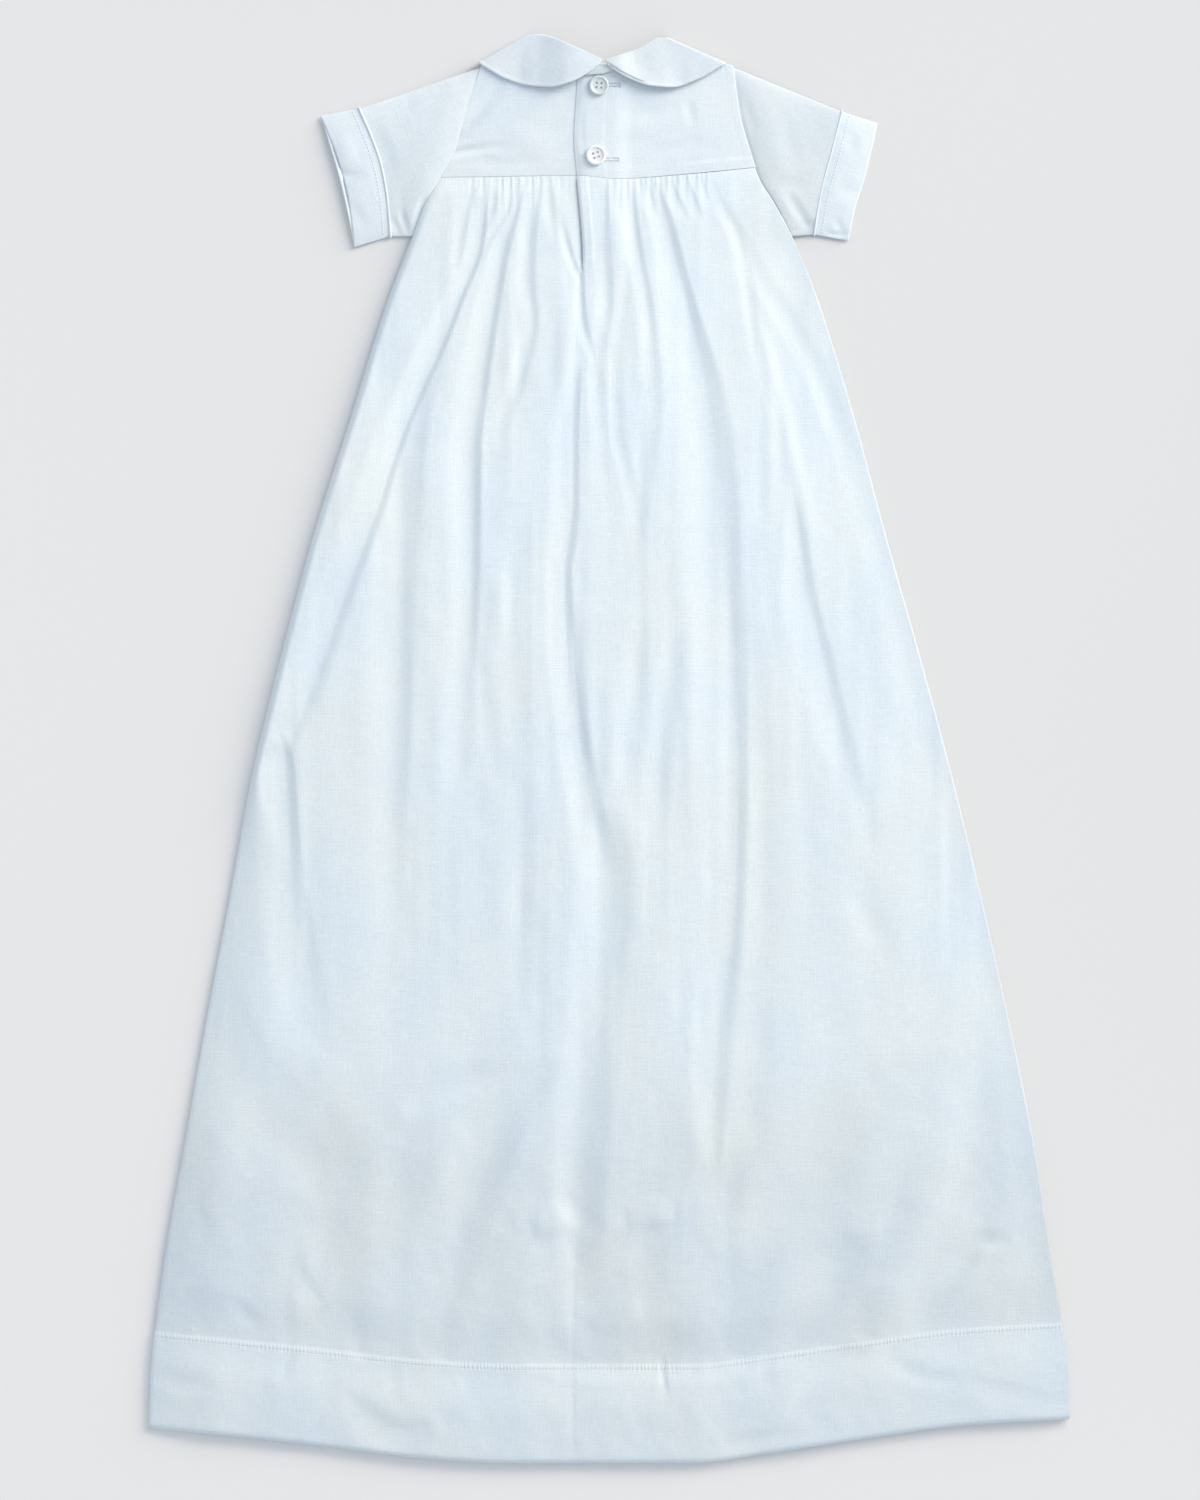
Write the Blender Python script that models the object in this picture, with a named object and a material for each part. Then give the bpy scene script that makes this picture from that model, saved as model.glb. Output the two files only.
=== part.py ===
"""Christening gown of thin cotton, laid flat on its front with the back upwards.

The gown rests on the plane z = 0. +X points to the right of the view from above, +Y from the hem to the
collar and +Z up. All sizes below are in millimetres; the meshes are made in metres.
The layers from the bottom up are the front lobes of the collar, the front panels, the back panels, the lap
of the right back over the left, the neck binding and the back lobes of the collar.
"""
import math

import bpy
import numpy as np

MM = 0.001
SHARP_ANGLE = 28.0

# Cloth and layers
CLOTH = 1.4
GAP = 0.3
LAYER = CLOTH + GAP
HEM_EXTRA = 0.9
HEM_DEPTH = 57.0
HEM_STEP = 2.0
SKIRT_LENGTH = 765.0
HEM_LINE = SKIRT_LENGTH - HEM_DEPTH

# The yoke lies on the collar's front lobes, and the skirt sinks to the surface below the seam
YOKE_LIFT = LAYER
LIFT_FOOT = 292.0
SEAM_HEIGHT = 341.0

# Centre back closing: the left skirt runs under the right one at the seam and beside it at the slit's foot
SLIT_LENGTH = 57.0
LAP_LENGTH = 41.0
SLIT_APART = 0.7
SLIT_FLAT = 12.0
SLIT_FLAT_FROM = 0.3
SKIRT_UNDERLAP = 11.0
YOKE_UNDERLAP = 21.0
LAP_LEVEL_TO = 2.5
LAP_SINKS_TO = 15.0

# Skirt grid and folds
EDGE_ROUND = 16.0
FRONT_INSET = 0.7
FOLD_CROWDING = 0.5
CROWDING_LENGTH = 90.0
COLUMNS = 68
SLIT_COLUMN = 32
GATHER_ROWS = (0.0, 4.0, 10.0, 19.0, 30.0, 43.0, SLIT_LENGTH, 76.0, 100.0)
SKIRT_ROWS = 17
FRONT_COLUMNS = 27
FRONT_UPPER_ROWS = (0.0, 20.0, 45.0)
FRONT_MIDDLE_FROM = 110.0
FRONT_MIDDLE_ROWS = 6

# Collar
COLLAR_FOLD_STEPS = 4
COLLAR_FOLD_AT_NECK = 0.4
COLLAR_ACROSS = 6
COLLAR_BACK_ROWS = 13
COLLAR_FRONT_ROWS = 8

# Sleeves, piping and cuffs
ARMHOLE_TOP = 407.2
ARMHOLE_FOOT = 306.0
RING_STEPS = 12
RING_FLATNESS = 6
SLEEVE_SINKS_BY = 1.0 / 1.3
SLEEVE_PUFF = 1.6
CUFF_PUFF = 0.5
PIPING_RAISE = 0.5
PIPING_END_SHARPNESS = 9
PIPING_LEFT = 1.8
PIPING_RIGHT = 1.4

# Buttons
BUTTON_RADIUS = 6.0
BUTTON_HOLE_RADIUS = 0.65
BUTTON_HOLE_SPREAD = 2.0
BUTTON_SIDES = 24

# Outline of yoke and skirt: height, left edge, right edge
SIDES = (
    (408.0, -77.0, 74.1),
    (380.0, -86.2, 78.0),
    (355.0, -93.6, 85.0),
    (341.0, -101.0, 89.6),
    (325.0, -110.7, 99.3),
    (305.0, -118.7, 110.1),
    (268.0, -133.0, 125.1),
    (196.0, -155.7, 147.3),
    (124.0, -178.5, 166.5),
    (52.0, -197.7, 186.9),
    (-20.0, -215.1, 206.1),
    (-92.0, -228.3, 223.5),
    (-164.0, -242.1, 239.7),
    (-236.0, -254.7, 254.1),
    (-308.0, -267.3, 265.2),
    (-380.0, -275.8, 275.6),
    (-409.0, -276.6, 276.6),
)

# Seam between yoke and skirt: across, height
SEAM = ((-101.0, 341.0), (-60.0, 341.6), (-20.0, 342.2), (5.0, 340.2), (40.0, 342.4), (90.0, 347.0))

# Lower edge of the hem: across, height
HEM = (
    (-276.6, -408.3),
    (-222.0, -413.7),
    (-168.0, -419.7),
    (-114.0, -426.3),
    (-60.0, -429.3),
    (48.0, -429.3),
    (102.0, -422.4),
    (156.0, -414.3),
    (210.0, -407.0),
    (276.6, -402.9),
)

# Edge of the right back where it laps over the left: height, across
CLOSING = ((410.0, -19.0), (397.0, -19.5), (364.0, -21.3), (342.0, -19.6))

# Upper edges of the yoke pieces: across, height
YOKE_TOP_LEFT = (
    (-77.0, 408.0),
    (-47.5, 424.2),
    (-38.0, 423.0),
    (-29.0, 418.8),
    (-14.0, 412.6),
    (2.0, 408.0),
)
YOKE_TOP_RIGHT = (
    (-19.0, 407.0),
    (-4.0, 408.0),
    (4.5, 411.0),
    (18.0, 416.0),
    (26.0, 420.4),
    (33.0, 422.0),
    (74.1, 408.0),
)
YOKE_TOP_FRONT = (
    (-77.0, 408.0),
    (-47.5, 424.0),
    (-44.0, 411.0),
    (-36.0, 399.5),
    (-24.0, 390.5),
    (-10.0, 386.5),
    (4.0, 386.5),
    (17.0, 391.0),
    (26.0, 399.5),
    (31.0, 410.0),
    (34.0, 421.5),
    (74.1, 408.0),
)

# Heights at which the folds of the skirt are placed, from the seam down to the hem
FOLD_HEIGHTS = (341.0, 292.0, 208.0, 112.0, -8.0, -152.0, -302.0, -430.0)

# Folds of the back skirt: column of the grid, width, place across and depth (0 to 1) at each fold height
FOLDS = (
    {"column": 12, "width": 5.5, "across": (-68, -82, -116, -148, -188, -173, -165, -162),
     "depth": (0.5, 0.9, 0.8, 0.7, 0.75, 0.35, 0.1, 0.0)},
    {"column": 16, "width": 8.0, "across": (-59, -74, -106, -118, -122, -120, -117, -115),
     "depth": (0.3, 0.4, 0.75, 0.9, 0.8, 0.2, 0.05, 0.0)},
    {"column": 20, "width": 5.0, "across": (-51, -62, -75, -80, -83, -88, -91, -93),
     "depth": (0.4, 0.9, 0.95, 0.9, 0.4, 0.15, 0.2, 0.0)},
    {"column": 24, "width": 6.0, "across": (-41, -47, -55, -51, -50, -52, -57, -58),
     "depth": (0.7, 0.8, 0.5, 0.35, 0.35, 0.35, 0.3, 0.0)},
    {"column": SLIT_COLUMN, "width": 7.5, "across": (-19.6, -16, -19, -25, -15, 3, -14, -19.5),
     "depth": (1.0, 1.0, 0.8, 0.7, 0.8, 0.75, 0.5, 0.15)},
    {"column": 38, "width": 6.0, "across": (-2, -1, -1, 5, 18, 23, 16, 12),
     "depth": (0.3, 0.5, 0.5, 0.2, 0.3, 0.1, 0.2, 0.0)},
    {"column": 44, "width": 6.0, "across": (14, 18, 28, 22, 39, 42, 38, 35),
     "depth": (0.7, 0.8, 0.4, 0.3, 0.4, 0.1, 0.1, 0.0)},
    {"column": 50, "width": 7.0, "across": (29, 42, 62, 74, 80, 70, 67, 67),
     "depth": (0.5, 0.95, 1.0, 0.95, 0.9, 0.7, 0.3, 0.0)},
    {"column": 58, "width": 6.5, "across": (54, 77, 97, 118, 146, 167, 162, 162),
     "depth": (0.3, 0.5, 0.6, 0.6, 0.6, 0.2, 0.1, 0.0)},
    {"column": 62, "width": 6.5, "across": (64, 84, 121, 151, 183, 210, 225, 234),
     "depth": (0.6, 0.7, 0.5, 0.2, 0.2, 0.3, 0.5, 0.1)},
)

# How far the back skirt stands off the front: distance below the seam, height
PUFF = (
    (0.0, 0.0),
    (12.0, 1.2),
    (40.0, 2.6),
    (120.0, 3.3),
    (400.0, 3.5),
    (650.0, 2.6),
    (706.0, 1.4),
    (765.0, 0.7),
)

# Height of the fine gathers: distance below the seam, height
GATHER = ((0.0, 0.0), (4.0, 0.9), (12.0, 1.5), (30.0, 0.9), (60.0, 0.3), (90.0, 0.0), (800.0, 0.0))

# Back lobes of the collar halves, from the centre back to the shoulder fold: inner edge across and height,
# outer edge across and height, rise of the outer edge
COLLAR_BACK_LEFT = (
    (-4.2, 411.6, -6.0, 408.6, 0.6),
    (-9.0, 413.8, -13.5, 402.8, 1.6),
    (-16.5, 417.4, -23.5, 397.6, 2.4),
    (-25.5, 421.3, -35.5, 394.9, 2.2),
    (-34.5, 425.0, -48.5, 395.9, 1.5),
    (-42.5, 426.8, -62.5, 400.1, 0.6),
    (-48.6, 426.4, -78.0, 409.0, 0.0),
)
COLLAR_BACK_RIGHT = (
    (-2.4, 411.0, -1.0, 408.0, 0.6),
    (3.5, 413.2, 3.5, 404.6, 1.8),
    (11.0, 415.8, 13.0, 399.5, 2.8),
    (18.0, 418.4, 25.0, 395.5, 2.4),
    (24.0, 422.0, 38.0, 394.7, 1.6),
    (29.5, 424.4, 53.0, 399.6, 0.6),
    (34.0, 424.4, 69.3, 408.9, 0.0),
)

# Front lobes of the collar halves, from below the shoulder fold to the centre front: inner edge across and
# height, outer edge across and height
COLLAR_FRONT_LEFT = (
    (-46.0, 412.0, -72.5, 393.0),
    (-38.0, 399.5, -58.0, 375.5),
    (-25.0, 390.0, -36.0, 365.5),
    (-12.0, 385.6, -15.0, 365.0),
    (-5.0, 384.4, -5.5, 376.0),
)
COLLAR_FRONT_RIGHT = (
    (33.0, 410.0, 65.5, 393.0),
    (28.0, 399.0, 51.0, 375.5),
    (18.0, 390.0, 30.0, 365.5),
    (6.0, 385.6, 9.0, 365.0),
    (-1.0, 384.4, -0.5, 376.0),
)

# Underside of the collar's back lobes: across, height above the surface
COLLAR_BED = (
    (-80.0, 5.2),
    (-45.0, 5.3),
    (-25.0, 8.4),
    (4.0, 8.5),
    (15.0, 7.3),
    (32.0, 7.0),
    (46.0, 5.6),
    (80.0, 5.2),
)

# Neck binding on the right back
BINDING_WIDTH = 4.8
BINDING_THICK = 1.0
BINDING_FROM = -18.0
BINDING_TO = 30.0

# Sleeve ends at the piping: across, height, from the upper fold to the lower one
CUFF_SEAM_LEFT = ((-150.3, 382.5), (-143.1, 366.3), (-137.1, 348.9), (-133.5, 329.7), (-131.4, 306.0))
CUFF_SEAM_RIGHT = ((139.5, 380.7), (132.3, 353.1), (127.5, 335.1), (124.8, 321.0), (122.7, 307.0))

# Open ends of the cuffs, upper and lower layer: across, height
CUFF_END_LEFT_UPPER = ((-173.1, 378.3), (-164.7, 357.9), (-158.7, 338.7), (-155.4, 322.0), (-152.9, 299.6))
CUFF_END_LEFT_LOWER = ((-173.1, 378.3), (-167.0, 359.9), (-160.8, 340.0), (-156.8, 322.0), (-152.9, 299.1))
CUFF_END_RIGHT = ((160.5, 373.8), (157.5, 360.0), (152.7, 340.5), (147.0, 322.5), (143.1, 303.3))

# Buttons: name, place across, height, tone, turn of the holes in degrees
BUTTONS = (("button_upper", -6.3, 396.0, 0.80, 40.0), ("button_lower", -8.1, 354.2, 0.86, 30.0))

# Colours
COTTON = (0.79, 0.84, 0.88)
WHITE_COTTON = (0.86, 0.89, 0.92)


def smoothstep(t):
    t = np.clip(t, 0.0, 1.0)
    return t * t * (3.0 - 2.0 * t)


def through(table, x, key=0, value=1):
    """Smooth curve through the rows of a table, value as a function of key, with no overshoot."""
    rows = sorted((row[key], row[value]) for row in table)
    xs = np.array([row[0] for row in rows], float)
    ys = np.array([row[1] for row in rows], float)
    rates = np.diff(ys) / np.diff(xs)
    level = rates[:-1] * rates[1:] <= 0.0
    sums = np.where(level, 1.0, rates[:-1] + rates[1:])
    inner_slopes = np.where(level, 0.0, 2.0 * rates[:-1] * rates[1:] / sums)
    slopes = np.concatenate([rates[:1], inner_slopes, rates[-1:]])
    x = np.clip(np.asarray(x, float), xs[0], xs[-1])
    i = np.clip(np.searchsorted(xs, x, side="right") - 1, 0, len(xs) - 2)
    h = xs[i + 1] - xs[i]
    t = (x - xs[i]) / h
    return (ys[i] * (1 + 2 * t) * (1 - t) ** 2 + ys[i + 1] * t * t * (3 - 2 * t)
            + h * slopes[i] * t * (1 - t) ** 2 + h * slopes[i + 1] * t * t * (t - 1))


def straight(table, x):
    """Straight lines through the rows of a table, with its corners kept."""
    return np.interp(x, [row[0] for row in table], [row[1] for row in table])


def along(points, t):
    """Point at the fraction t of a line of points, by smooth curves in each coordinate."""
    points = np.array(points, float)
    steps = np.linalg.norm(np.diff(points[:, :2], axis=0), axis=1)
    place = np.concatenate([[0.0], np.cumsum(steps)]) / steps.sum()
    return np.stack([through(list(zip(place, points[:, k])), t) for k in range(points.shape[1])], axis=-1)


def mix(a, b, t):
    return a + (b - a) * t


def left_edge(y):
    return through(SIDES, y, 0, 1)


def right_edge(y):
    return through(SIDES, y, 0, 2)


def lift(y):
    """Height of the front panels above the surface."""
    return YOKE_LIFT * smoothstep((y - LIFT_FOOT) / (SEAM_HEIGHT - LIFT_FOOT))


def lap(x):
    """Extra height of the right back where it lies on the left."""
    return LAYER * (1.0 - smoothstep((x - LAP_LEVEL_TO) / (LAP_SINKS_TO - LAP_LEVEL_TO)))


# Meshes and materials

def material(name, colour, roughness):
    made = bpy.data.materials.new(name)
    made.use_nodes = True
    shader = made.node_tree.nodes["Principled BSDF"]
    shader.inputs["Base Color"].default_value = (*colour, 1.0)
    shader.inputs["Roughness"].default_value = roughness
    shader.inputs["Metallic"].default_value = 0.0
    return made


def add_object(name, mesh, colour, roughness=0.9):
    mesh.materials.append(material(name, colour, roughness))
    mesh.shade_smooth()
    mesh.set_sharp_from_angle(angle=math.radians(SHARP_ANGLE))
    made = bpy.data.objects.new(name, mesh)
    bpy.context.scene.collection.objects.link(made)
    return made


def wall(name, inner, outer, faces, colour=COTTON):
    """Closed wall between two sets of points that share the same faces."""
    count = len(inner)
    edges = {(face[k], face[(k + 1) % len(face)]) for face in faces for k in range(len(face))}
    rim = [(a, b) for a, b in sorted(edges) if (b, a) not in edges]
    shell = [tuple(i + count for i in face) for face in faces]
    shell += [tuple(reversed(face)) for face in faces]
    shell += [(b + count, a + count, a, b) for a, b in rim]
    mesh = bpy.data.meshes.new(name)
    mesh.from_pydata((np.concatenate([inner, outer]) * MM).tolist(), [], shell)
    mesh.validate()
    return add_object(name, mesh, colour)


def grid_faces(rows, columns, closed=False):
    """Faces of a grid whose points are stored row after row."""
    faces = []
    for r in range(rows - 1):
        for c in range(columns if closed else columns - 1):
            d = (c + 1) % columns
            faces.append((r * columns + c, (r + 1) * columns + c, (r + 1) * columns + d, r * columns + d))
    return faces


def flat_panel(name, x, y, bottom, thickness):
    """Panel from grids of places and heights, with its wall measured upwards."""
    inner = np.stack([x, y, bottom], axis=-1)
    outer = np.stack([x, y, bottom + thickness], axis=-1)
    wall(name, inner.reshape(-1, 3), outer.reshape(-1, 3), grid_faces(*x.shape))


# Skirt

def skirt_guides(y, left_half):
    """Places across of the edges and folds at the heights y, and their columns."""
    columns = [0] + [fold["column"] for fold in FOLDS] + [COLUMNS]
    places = [left_edge(y)]
    for fold in FOLDS:
        place = through(list(zip(FOLD_HEIGHTS, fold["across"])), y)
        if fold["column"] == SLIT_COLUMN and left_half:
            lapped = SKIRT_UNDERLAP * (1.0 - (SEAM_HEIGHT - y) / LAP_LENGTH)
            is_open = y > SEAM_HEIGHT - SLIT_LENGTH + HEM_STEP
            place = place + np.maximum(lapped, -SLIT_APART) * is_open
        places.append(place)
    places.append(right_edge(y))
    return columns, places


def skirt_across(column, y, left_half):
    """Place across of a column, spread evenly at the seam and closer to the folds further down."""
    columns, places = skirt_guides(y, left_half)
    crowd = FOLD_CROWDING * smoothstep((SEAM_HEIGHT - y) / CROWDING_LENGTH)
    x = np.zeros_like(y)
    for k in range(len(columns) - 1):
        t = (column - columns[k]) / (columns[k + 1] - columns[k])
        inside = (t >= 0.0) & (t <= 1.0)
        eased = t - crowd * np.sin(2.0 * np.pi * t) / (2.0 * np.pi)
        x = np.where(inside, mix(places[k], places[k + 1], eased), x)
    return x


def slit_place(y):
    """Place across of the fold that carries the slit."""
    fold = next(fold for fold in FOLDS if fold["column"] == SLIT_COLUMN)
    return through(list(zip(FOLD_HEIGHTS, fold["across"])), y)


def skirt_rise(x, y, column, below):
    """Height of the back skirt's cloth above its lowest level."""
    puff = through(PUFF, below)
    for fold in FOLDS:
        place = through(list(zip(FOLD_HEIGHTS, fold["across"])), y)
        depth = np.clip(through(list(zip(FOLD_HEIGHTS, fold["depth"])), y), 0.0, 1.0)
        puff = puff * (1.0 - depth * np.exp(-((x - place) / fold["width"]) ** 2))
    gather = through(GATHER, below) * (0.5 - 0.5 * np.cos(np.pi * column))
    inward = np.minimum(x - left_edge(y), right_edge(y) - x) / EDGE_ROUND
    edge = 1.0 - (1.0 - np.clip(inward, 0.0, 1.0)) ** 2
    return (puff + gather) * edge


def skirt_height_at(across_top, across_bottom, fraction):
    top = through(SEAM, across_top) - GAP
    return mix(top, through(HEM, across_bottom), fraction)


def skirt_fractions():
    """Rows of the back skirt as fractions of its length, with the step of the turned-up hem."""
    middle = np.linspace(GATHER_ROWS[-1], HEM_LINE - HEM_STEP, SKIRT_ROWS)[1:]
    rows = np.concatenate([GATHER_ROWS, middle, [HEM_LINE, HEM_LINE + 0.5 * HEM_DEPTH, SKIRT_LENGTH]])
    return rows / SKIRT_LENGTH


def hem_step(below):
    """1 where the cloth is turned up into the hem, 0 above it."""
    return np.clip((below - HEM_LINE) / HEM_STEP + 1.0, 0.0, 1.0)


def half_skirt(fractions, columns, left_half):
    """Places and rise of the columns on one side of the slit, a row for each fraction."""
    column, fraction = np.meshgrid(np.array(columns, float), fractions)
    below = fraction * SKIRT_LENGTH
    top = skirt_across(column, np.full_like(column, SEAM_HEIGHT), left_half)
    bottom = skirt_across(column, np.full_like(column, FOLD_HEIGHTS[-1]), left_half)
    y = skirt_height_at(top, bottom, fraction)
    x = skirt_across(column, y, left_half)
    rise = skirt_rise(x, y, column, below)
    open_slit = below < SLIT_LENGTH - 1.0
    if left_half:
        beside = (slit_place(y) - x) / SLIT_FLAT
        rise = rise * np.where(open_slit, smoothstep(beside - SLIT_FLAT_FROM), 1.0)
    else:
        rise = rise + np.where(open_slit, lap(x), 0.0)
    z = lift(y) + CLOTH + hem_step(below) * HEM_EXTRA + GAP + rise
    return x, y, z, CLOTH + hem_step(below) * HEM_EXTRA


def skirt_back():
    fractions = skirt_fractions()
    left = half_skirt(fractions, range(SLIT_COLUMN + 1), True)
    right = half_skirt(fractions, range(SLIT_COLUMN, COLUMNS + 1), False)
    slit_rows = int(np.sum(fractions * SKIRT_LENGTH < SLIT_LENGTH - 1.0))
    inner = []
    outer = []
    index = {}
    for side, (x, y, z, thickness) in (("left", left), ("right", right)):
        for r in range(x.shape[0]):
            for c in range(x.shape[1]):
                column = c if side == "left" else c + SLIT_COLUMN
                if side == "right" and c == 0 and r >= slit_rows:
                    index[side, r, column] = index["left", r, column]
                    continue
                index[side, r, column] = len(inner)
                inner.append((x[r, c], y[r, c], z[r, c]))
                outer.append((x[r, c], y[r, c], z[r, c] + thickness[r, c]))
    faces = []
    for r in range(len(fractions) - 1):
        for c in range(COLUMNS):
            side = "left" if c < SLIT_COLUMN else "right"
            corners = ((r, c), (r + 1, c), (r + 1, c + 1), (r, c + 1))
            faces.append(tuple(index[side, row, column] for row, column in corners))
    wall("skirt_back", np.array(inner), np.array(outer), faces)


def skirt_front():
    middle = np.linspace(FRONT_MIDDLE_FROM, HEM_LINE - HEM_STEP, FRONT_MIDDLE_ROWS)
    rows = np.concatenate([FRONT_UPPER_ROWS, middle, [HEM_LINE, SKIRT_LENGTH]])
    across, fraction = np.meshgrid(np.linspace(0.0, 1.0, FRONT_COLUMNS), rows / SKIRT_LENGTH)
    below = fraction * SKIRT_LENGTH
    top = mix(left_edge(SEAM_HEIGHT), right_edge(SEAM_HEIGHT), across)
    bottom = mix(HEM[0][0], HEM[-1][0], across)
    y = skirt_height_at(top, bottom, fraction)
    x = mix(left_edge(y) + FRONT_INSET, right_edge(y) - FRONT_INSET, across)
    y = y + FRONT_INSET * fraction
    flat_panel("skirt_front", x, y, lift(y), CLOTH + HEM_EXTRA * hem_step(below))


# Yoke

def yoke_grid(top_table, left, right, columns, rows=6):
    """Places of a yoke piece between its two side edges, its upper edge and the seam."""
    across, down = np.meshgrid(np.linspace(0.0, 1.0, columns), np.linspace(0.0, 1.0, rows))
    x_top = mix(top_table[0][0], top_table[-1][0], across)
    x_seam = mix(left(SEAM_HEIGHT), right(SEAM_HEIGHT), across)
    y = mix(straight(top_table, x_top), through(SEAM, x_seam), down)
    left_y = y[:, :1]
    right_y = y[:, -1:]
    even = mix(x_top, x_seam, down)
    bow_left = left(left_y) - mix(x_top[:, :1], x_seam[:, :1], down[:, :1])
    bow_right = right(right_y) - mix(x_top[:, -1:], x_seam[:, -1:], down[:, :1])
    return even + mix(bow_left, bow_right, across), y


def closing_edge(y):
    return through(CLOSING, y)


def yokes():
    x, y = yoke_grid(YOKE_TOP_FRONT, left_edge, right_edge, FRONT_COLUMNS)
    flat_panel("yoke_front", x, y, np.full_like(x, YOKE_LIFT), CLOTH)
    x, y = yoke_grid(YOKE_TOP_LEFT, left_edge, lambda h: closing_edge(h) + YOKE_UNDERLAP, 15)
    flat_panel("yoke_back_left", x, y, np.full_like(x, YOKE_LIFT + LAYER), CLOTH)
    x, y = yoke_grid(YOKE_TOP_RIGHT, closing_edge, right_edge, 19)
    flat_panel("yoke_back_right", x, y, YOKE_LIFT + LAYER + lap(x), CLOTH)


def neck_binding():
    x, down = np.meshgrid(np.linspace(BINDING_FROM, BINDING_TO, 13), (0.0, 1.0))
    y = straight(YOKE_TOP_RIGHT, x) - GAP - BINDING_WIDTH * down
    flat_panel("neck_binding", x, y, YOKE_LIFT + 2.0 * LAYER + lap(x), BINDING_THICK)


# Collar

def collar(name, back, front, outward):
    """Half of the round collar, folded over the shoulder: back lobe, fold and front lobe."""
    across = np.linspace(0.0, 1.0, COLLAR_ACROSS)
    back_rows = along(back, np.linspace(0.0, 1.0, COLLAR_BACK_ROWS))
    shoulder = np.array(back[-1][:4], float)
    front_rows = along([tuple(shoulder)] + list(front), np.linspace(0.0, 1.0, COLLAR_FRONT_ROWS))
    upper = float(through(COLLAR_BED, shoulder[0])) + 0.5 * CLOTH
    lower = 0.5 * CLOTH
    rows = []
    for k, (xi, yi, xo, yo, rise) in enumerate(back_rows):
        x = mix(xi, xo, across)
        to_shoulder = smoothstep(3.0 * k / (len(back_rows) - 1) - 2.0)
        height = mix(through(COLLAR_BED, x) + 0.5 * CLOTH, upper, to_shoulder)
        rows.append(np.stack([x, mix(yi, yo, across), height + rise * across], axis=-1))
    for k in range(1, COLLAR_FOLD_STEPS):
        turn = math.pi * k / COLLAR_FOLD_STEPS
        reach = 0.5 * (upper - lower) * math.sin(turn) * mix(COLLAR_FOLD_AT_NECK, 1.0, across)
        height = 0.5 * (upper + lower) + 0.5 * (upper - lower) * math.cos(turn)
        rows.append(np.stack([mix(shoulder[0], shoulder[2], across) + reach * outward[0],
                              mix(shoulder[1], shoulder[3], across) + reach * outward[1],
                              np.full_like(across, height)], axis=-1))
    for xi, yi, xo, yo in front_rows:
        height = np.full_like(across, lower)
        rows.append(np.stack([mix(xi, xo, across), mix(yi, yo, across), height], axis=-1))
    middle = np.array(rows)
    normal = np.cross(np.gradient(middle, axis=0), np.gradient(middle, axis=1))
    normal /= np.linalg.norm(normal, axis=-1, keepdims=True)
    normal *= np.sign(normal[0, 0, 2])
    faces = grid_faces(*middle.shape[:2])
    if outward[0] > 0.0:
        faces = [tuple(reversed(face)) for face in faces]
    inner = (middle - 0.5 * CLOTH * normal).reshape(-1, 3)
    outer = (middle + 0.5 * CLOTH * normal).reshape(-1, 3)
    inner[:, 2] = np.maximum(inner[:, 2], 0.0)
    outer[:, 2] = np.maximum(outer[:, 2], 0.0)
    wall(name, inner, outer, faces)


# Sleeves, piping and cuffs

def tube(name, ends, steps, outwards, raise_by=0.0, puff=0.0, flat=False, colour=COTTON):
    """Flattened tube between two end lines, each given for the upper and the lower layer."""
    (start_upper, start_lower), (end_upper, end_lower) = ends
    t = 0.5 - 0.5 * np.cos(np.pi * np.arange(RING_STEPS + 1) / RING_STEPS)
    ring = np.concatenate([t, t[-2:0:-1]])
    upper = np.arange(len(ring)) <= RING_STEPS
    full = np.sqrt(np.clip(1.0 - (2.0 * ring - 1.0) ** RING_FLATNESS, 0.0, 1.0))
    outer = []
    inner = []
    for s in np.linspace(0.0, 1.0, steps):
        def place(r):
            start = np.where(upper[:, None], start_upper(r), start_lower(r))
            end = np.where(upper[:, None], end_upper(r), end_lower(r))
            return mix(start, end, s)
        xy = place(ring)
        length = np.linalg.norm(xy[RING_STEPS] - xy[0])
        inset = CLOTH / length
        inner_xy = place(mix(inset, 1.0 - inset, ring))
        low = np.zeros(len(ring)) if flat else lift(xy[:, 1]) * (1.0 - smoothstep(s / SLEEVE_SINKS_BY))
        bulge = math.sin(math.pi * s)
        puffed = puff * bulge * (1.0 - (2.0 * ring - 1.0) ** 2)
        high = low + 2.0 * CLOTH + GAP + puffed + raise_by * (0.5 + 0.5 * bulge)
        middle = low + CLOTH + 0.5 * GAP
        z = np.where(upper, mix(middle, high, full), mix(middle, low, full))
        swell = raise_by * bulge * (2.0 * ring - 1.0) ** PIPING_END_SHARPNESS
        outer.append(np.stack([xy[:, 0], xy[:, 1] - swell, z], axis=-1))
        cloth = CLOTH + raise_by * (0.5 + 0.5 * bulge)
        z = np.where(upper, mix(middle, high - cloth, full), mix(middle, low + CLOTH, full))
        inner.append(np.stack([inner_xy[:, 0], inner_xy[:, 1], z], axis=-1))
    faces = grid_faces(steps, len(ring), closed=True)
    if outwards > 0.0:
        faces = [tuple(reversed(face)) for face in faces]
    wall(name, np.array(inner).reshape(-1, 3), np.array(outer).reshape(-1, 3), faces, colour)


def armhole(edge, outwards):
    """Line of the armhole from the shoulder to the underarm, just outside the yoke and skirt."""
    def line(r):
        y = mix(ARMHOLE_TOP, ARMHOLE_FOOT, r)
        return np.stack([edge(y) + 1.2 * GAP * outwards, y], axis=-1)
    return line


def shifted(points, offset=0.0):
    """Line through the points, moved across by the offset."""
    def line(r):
        return along(points, r) + np.array([offset, 0.0])
    return line


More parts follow.
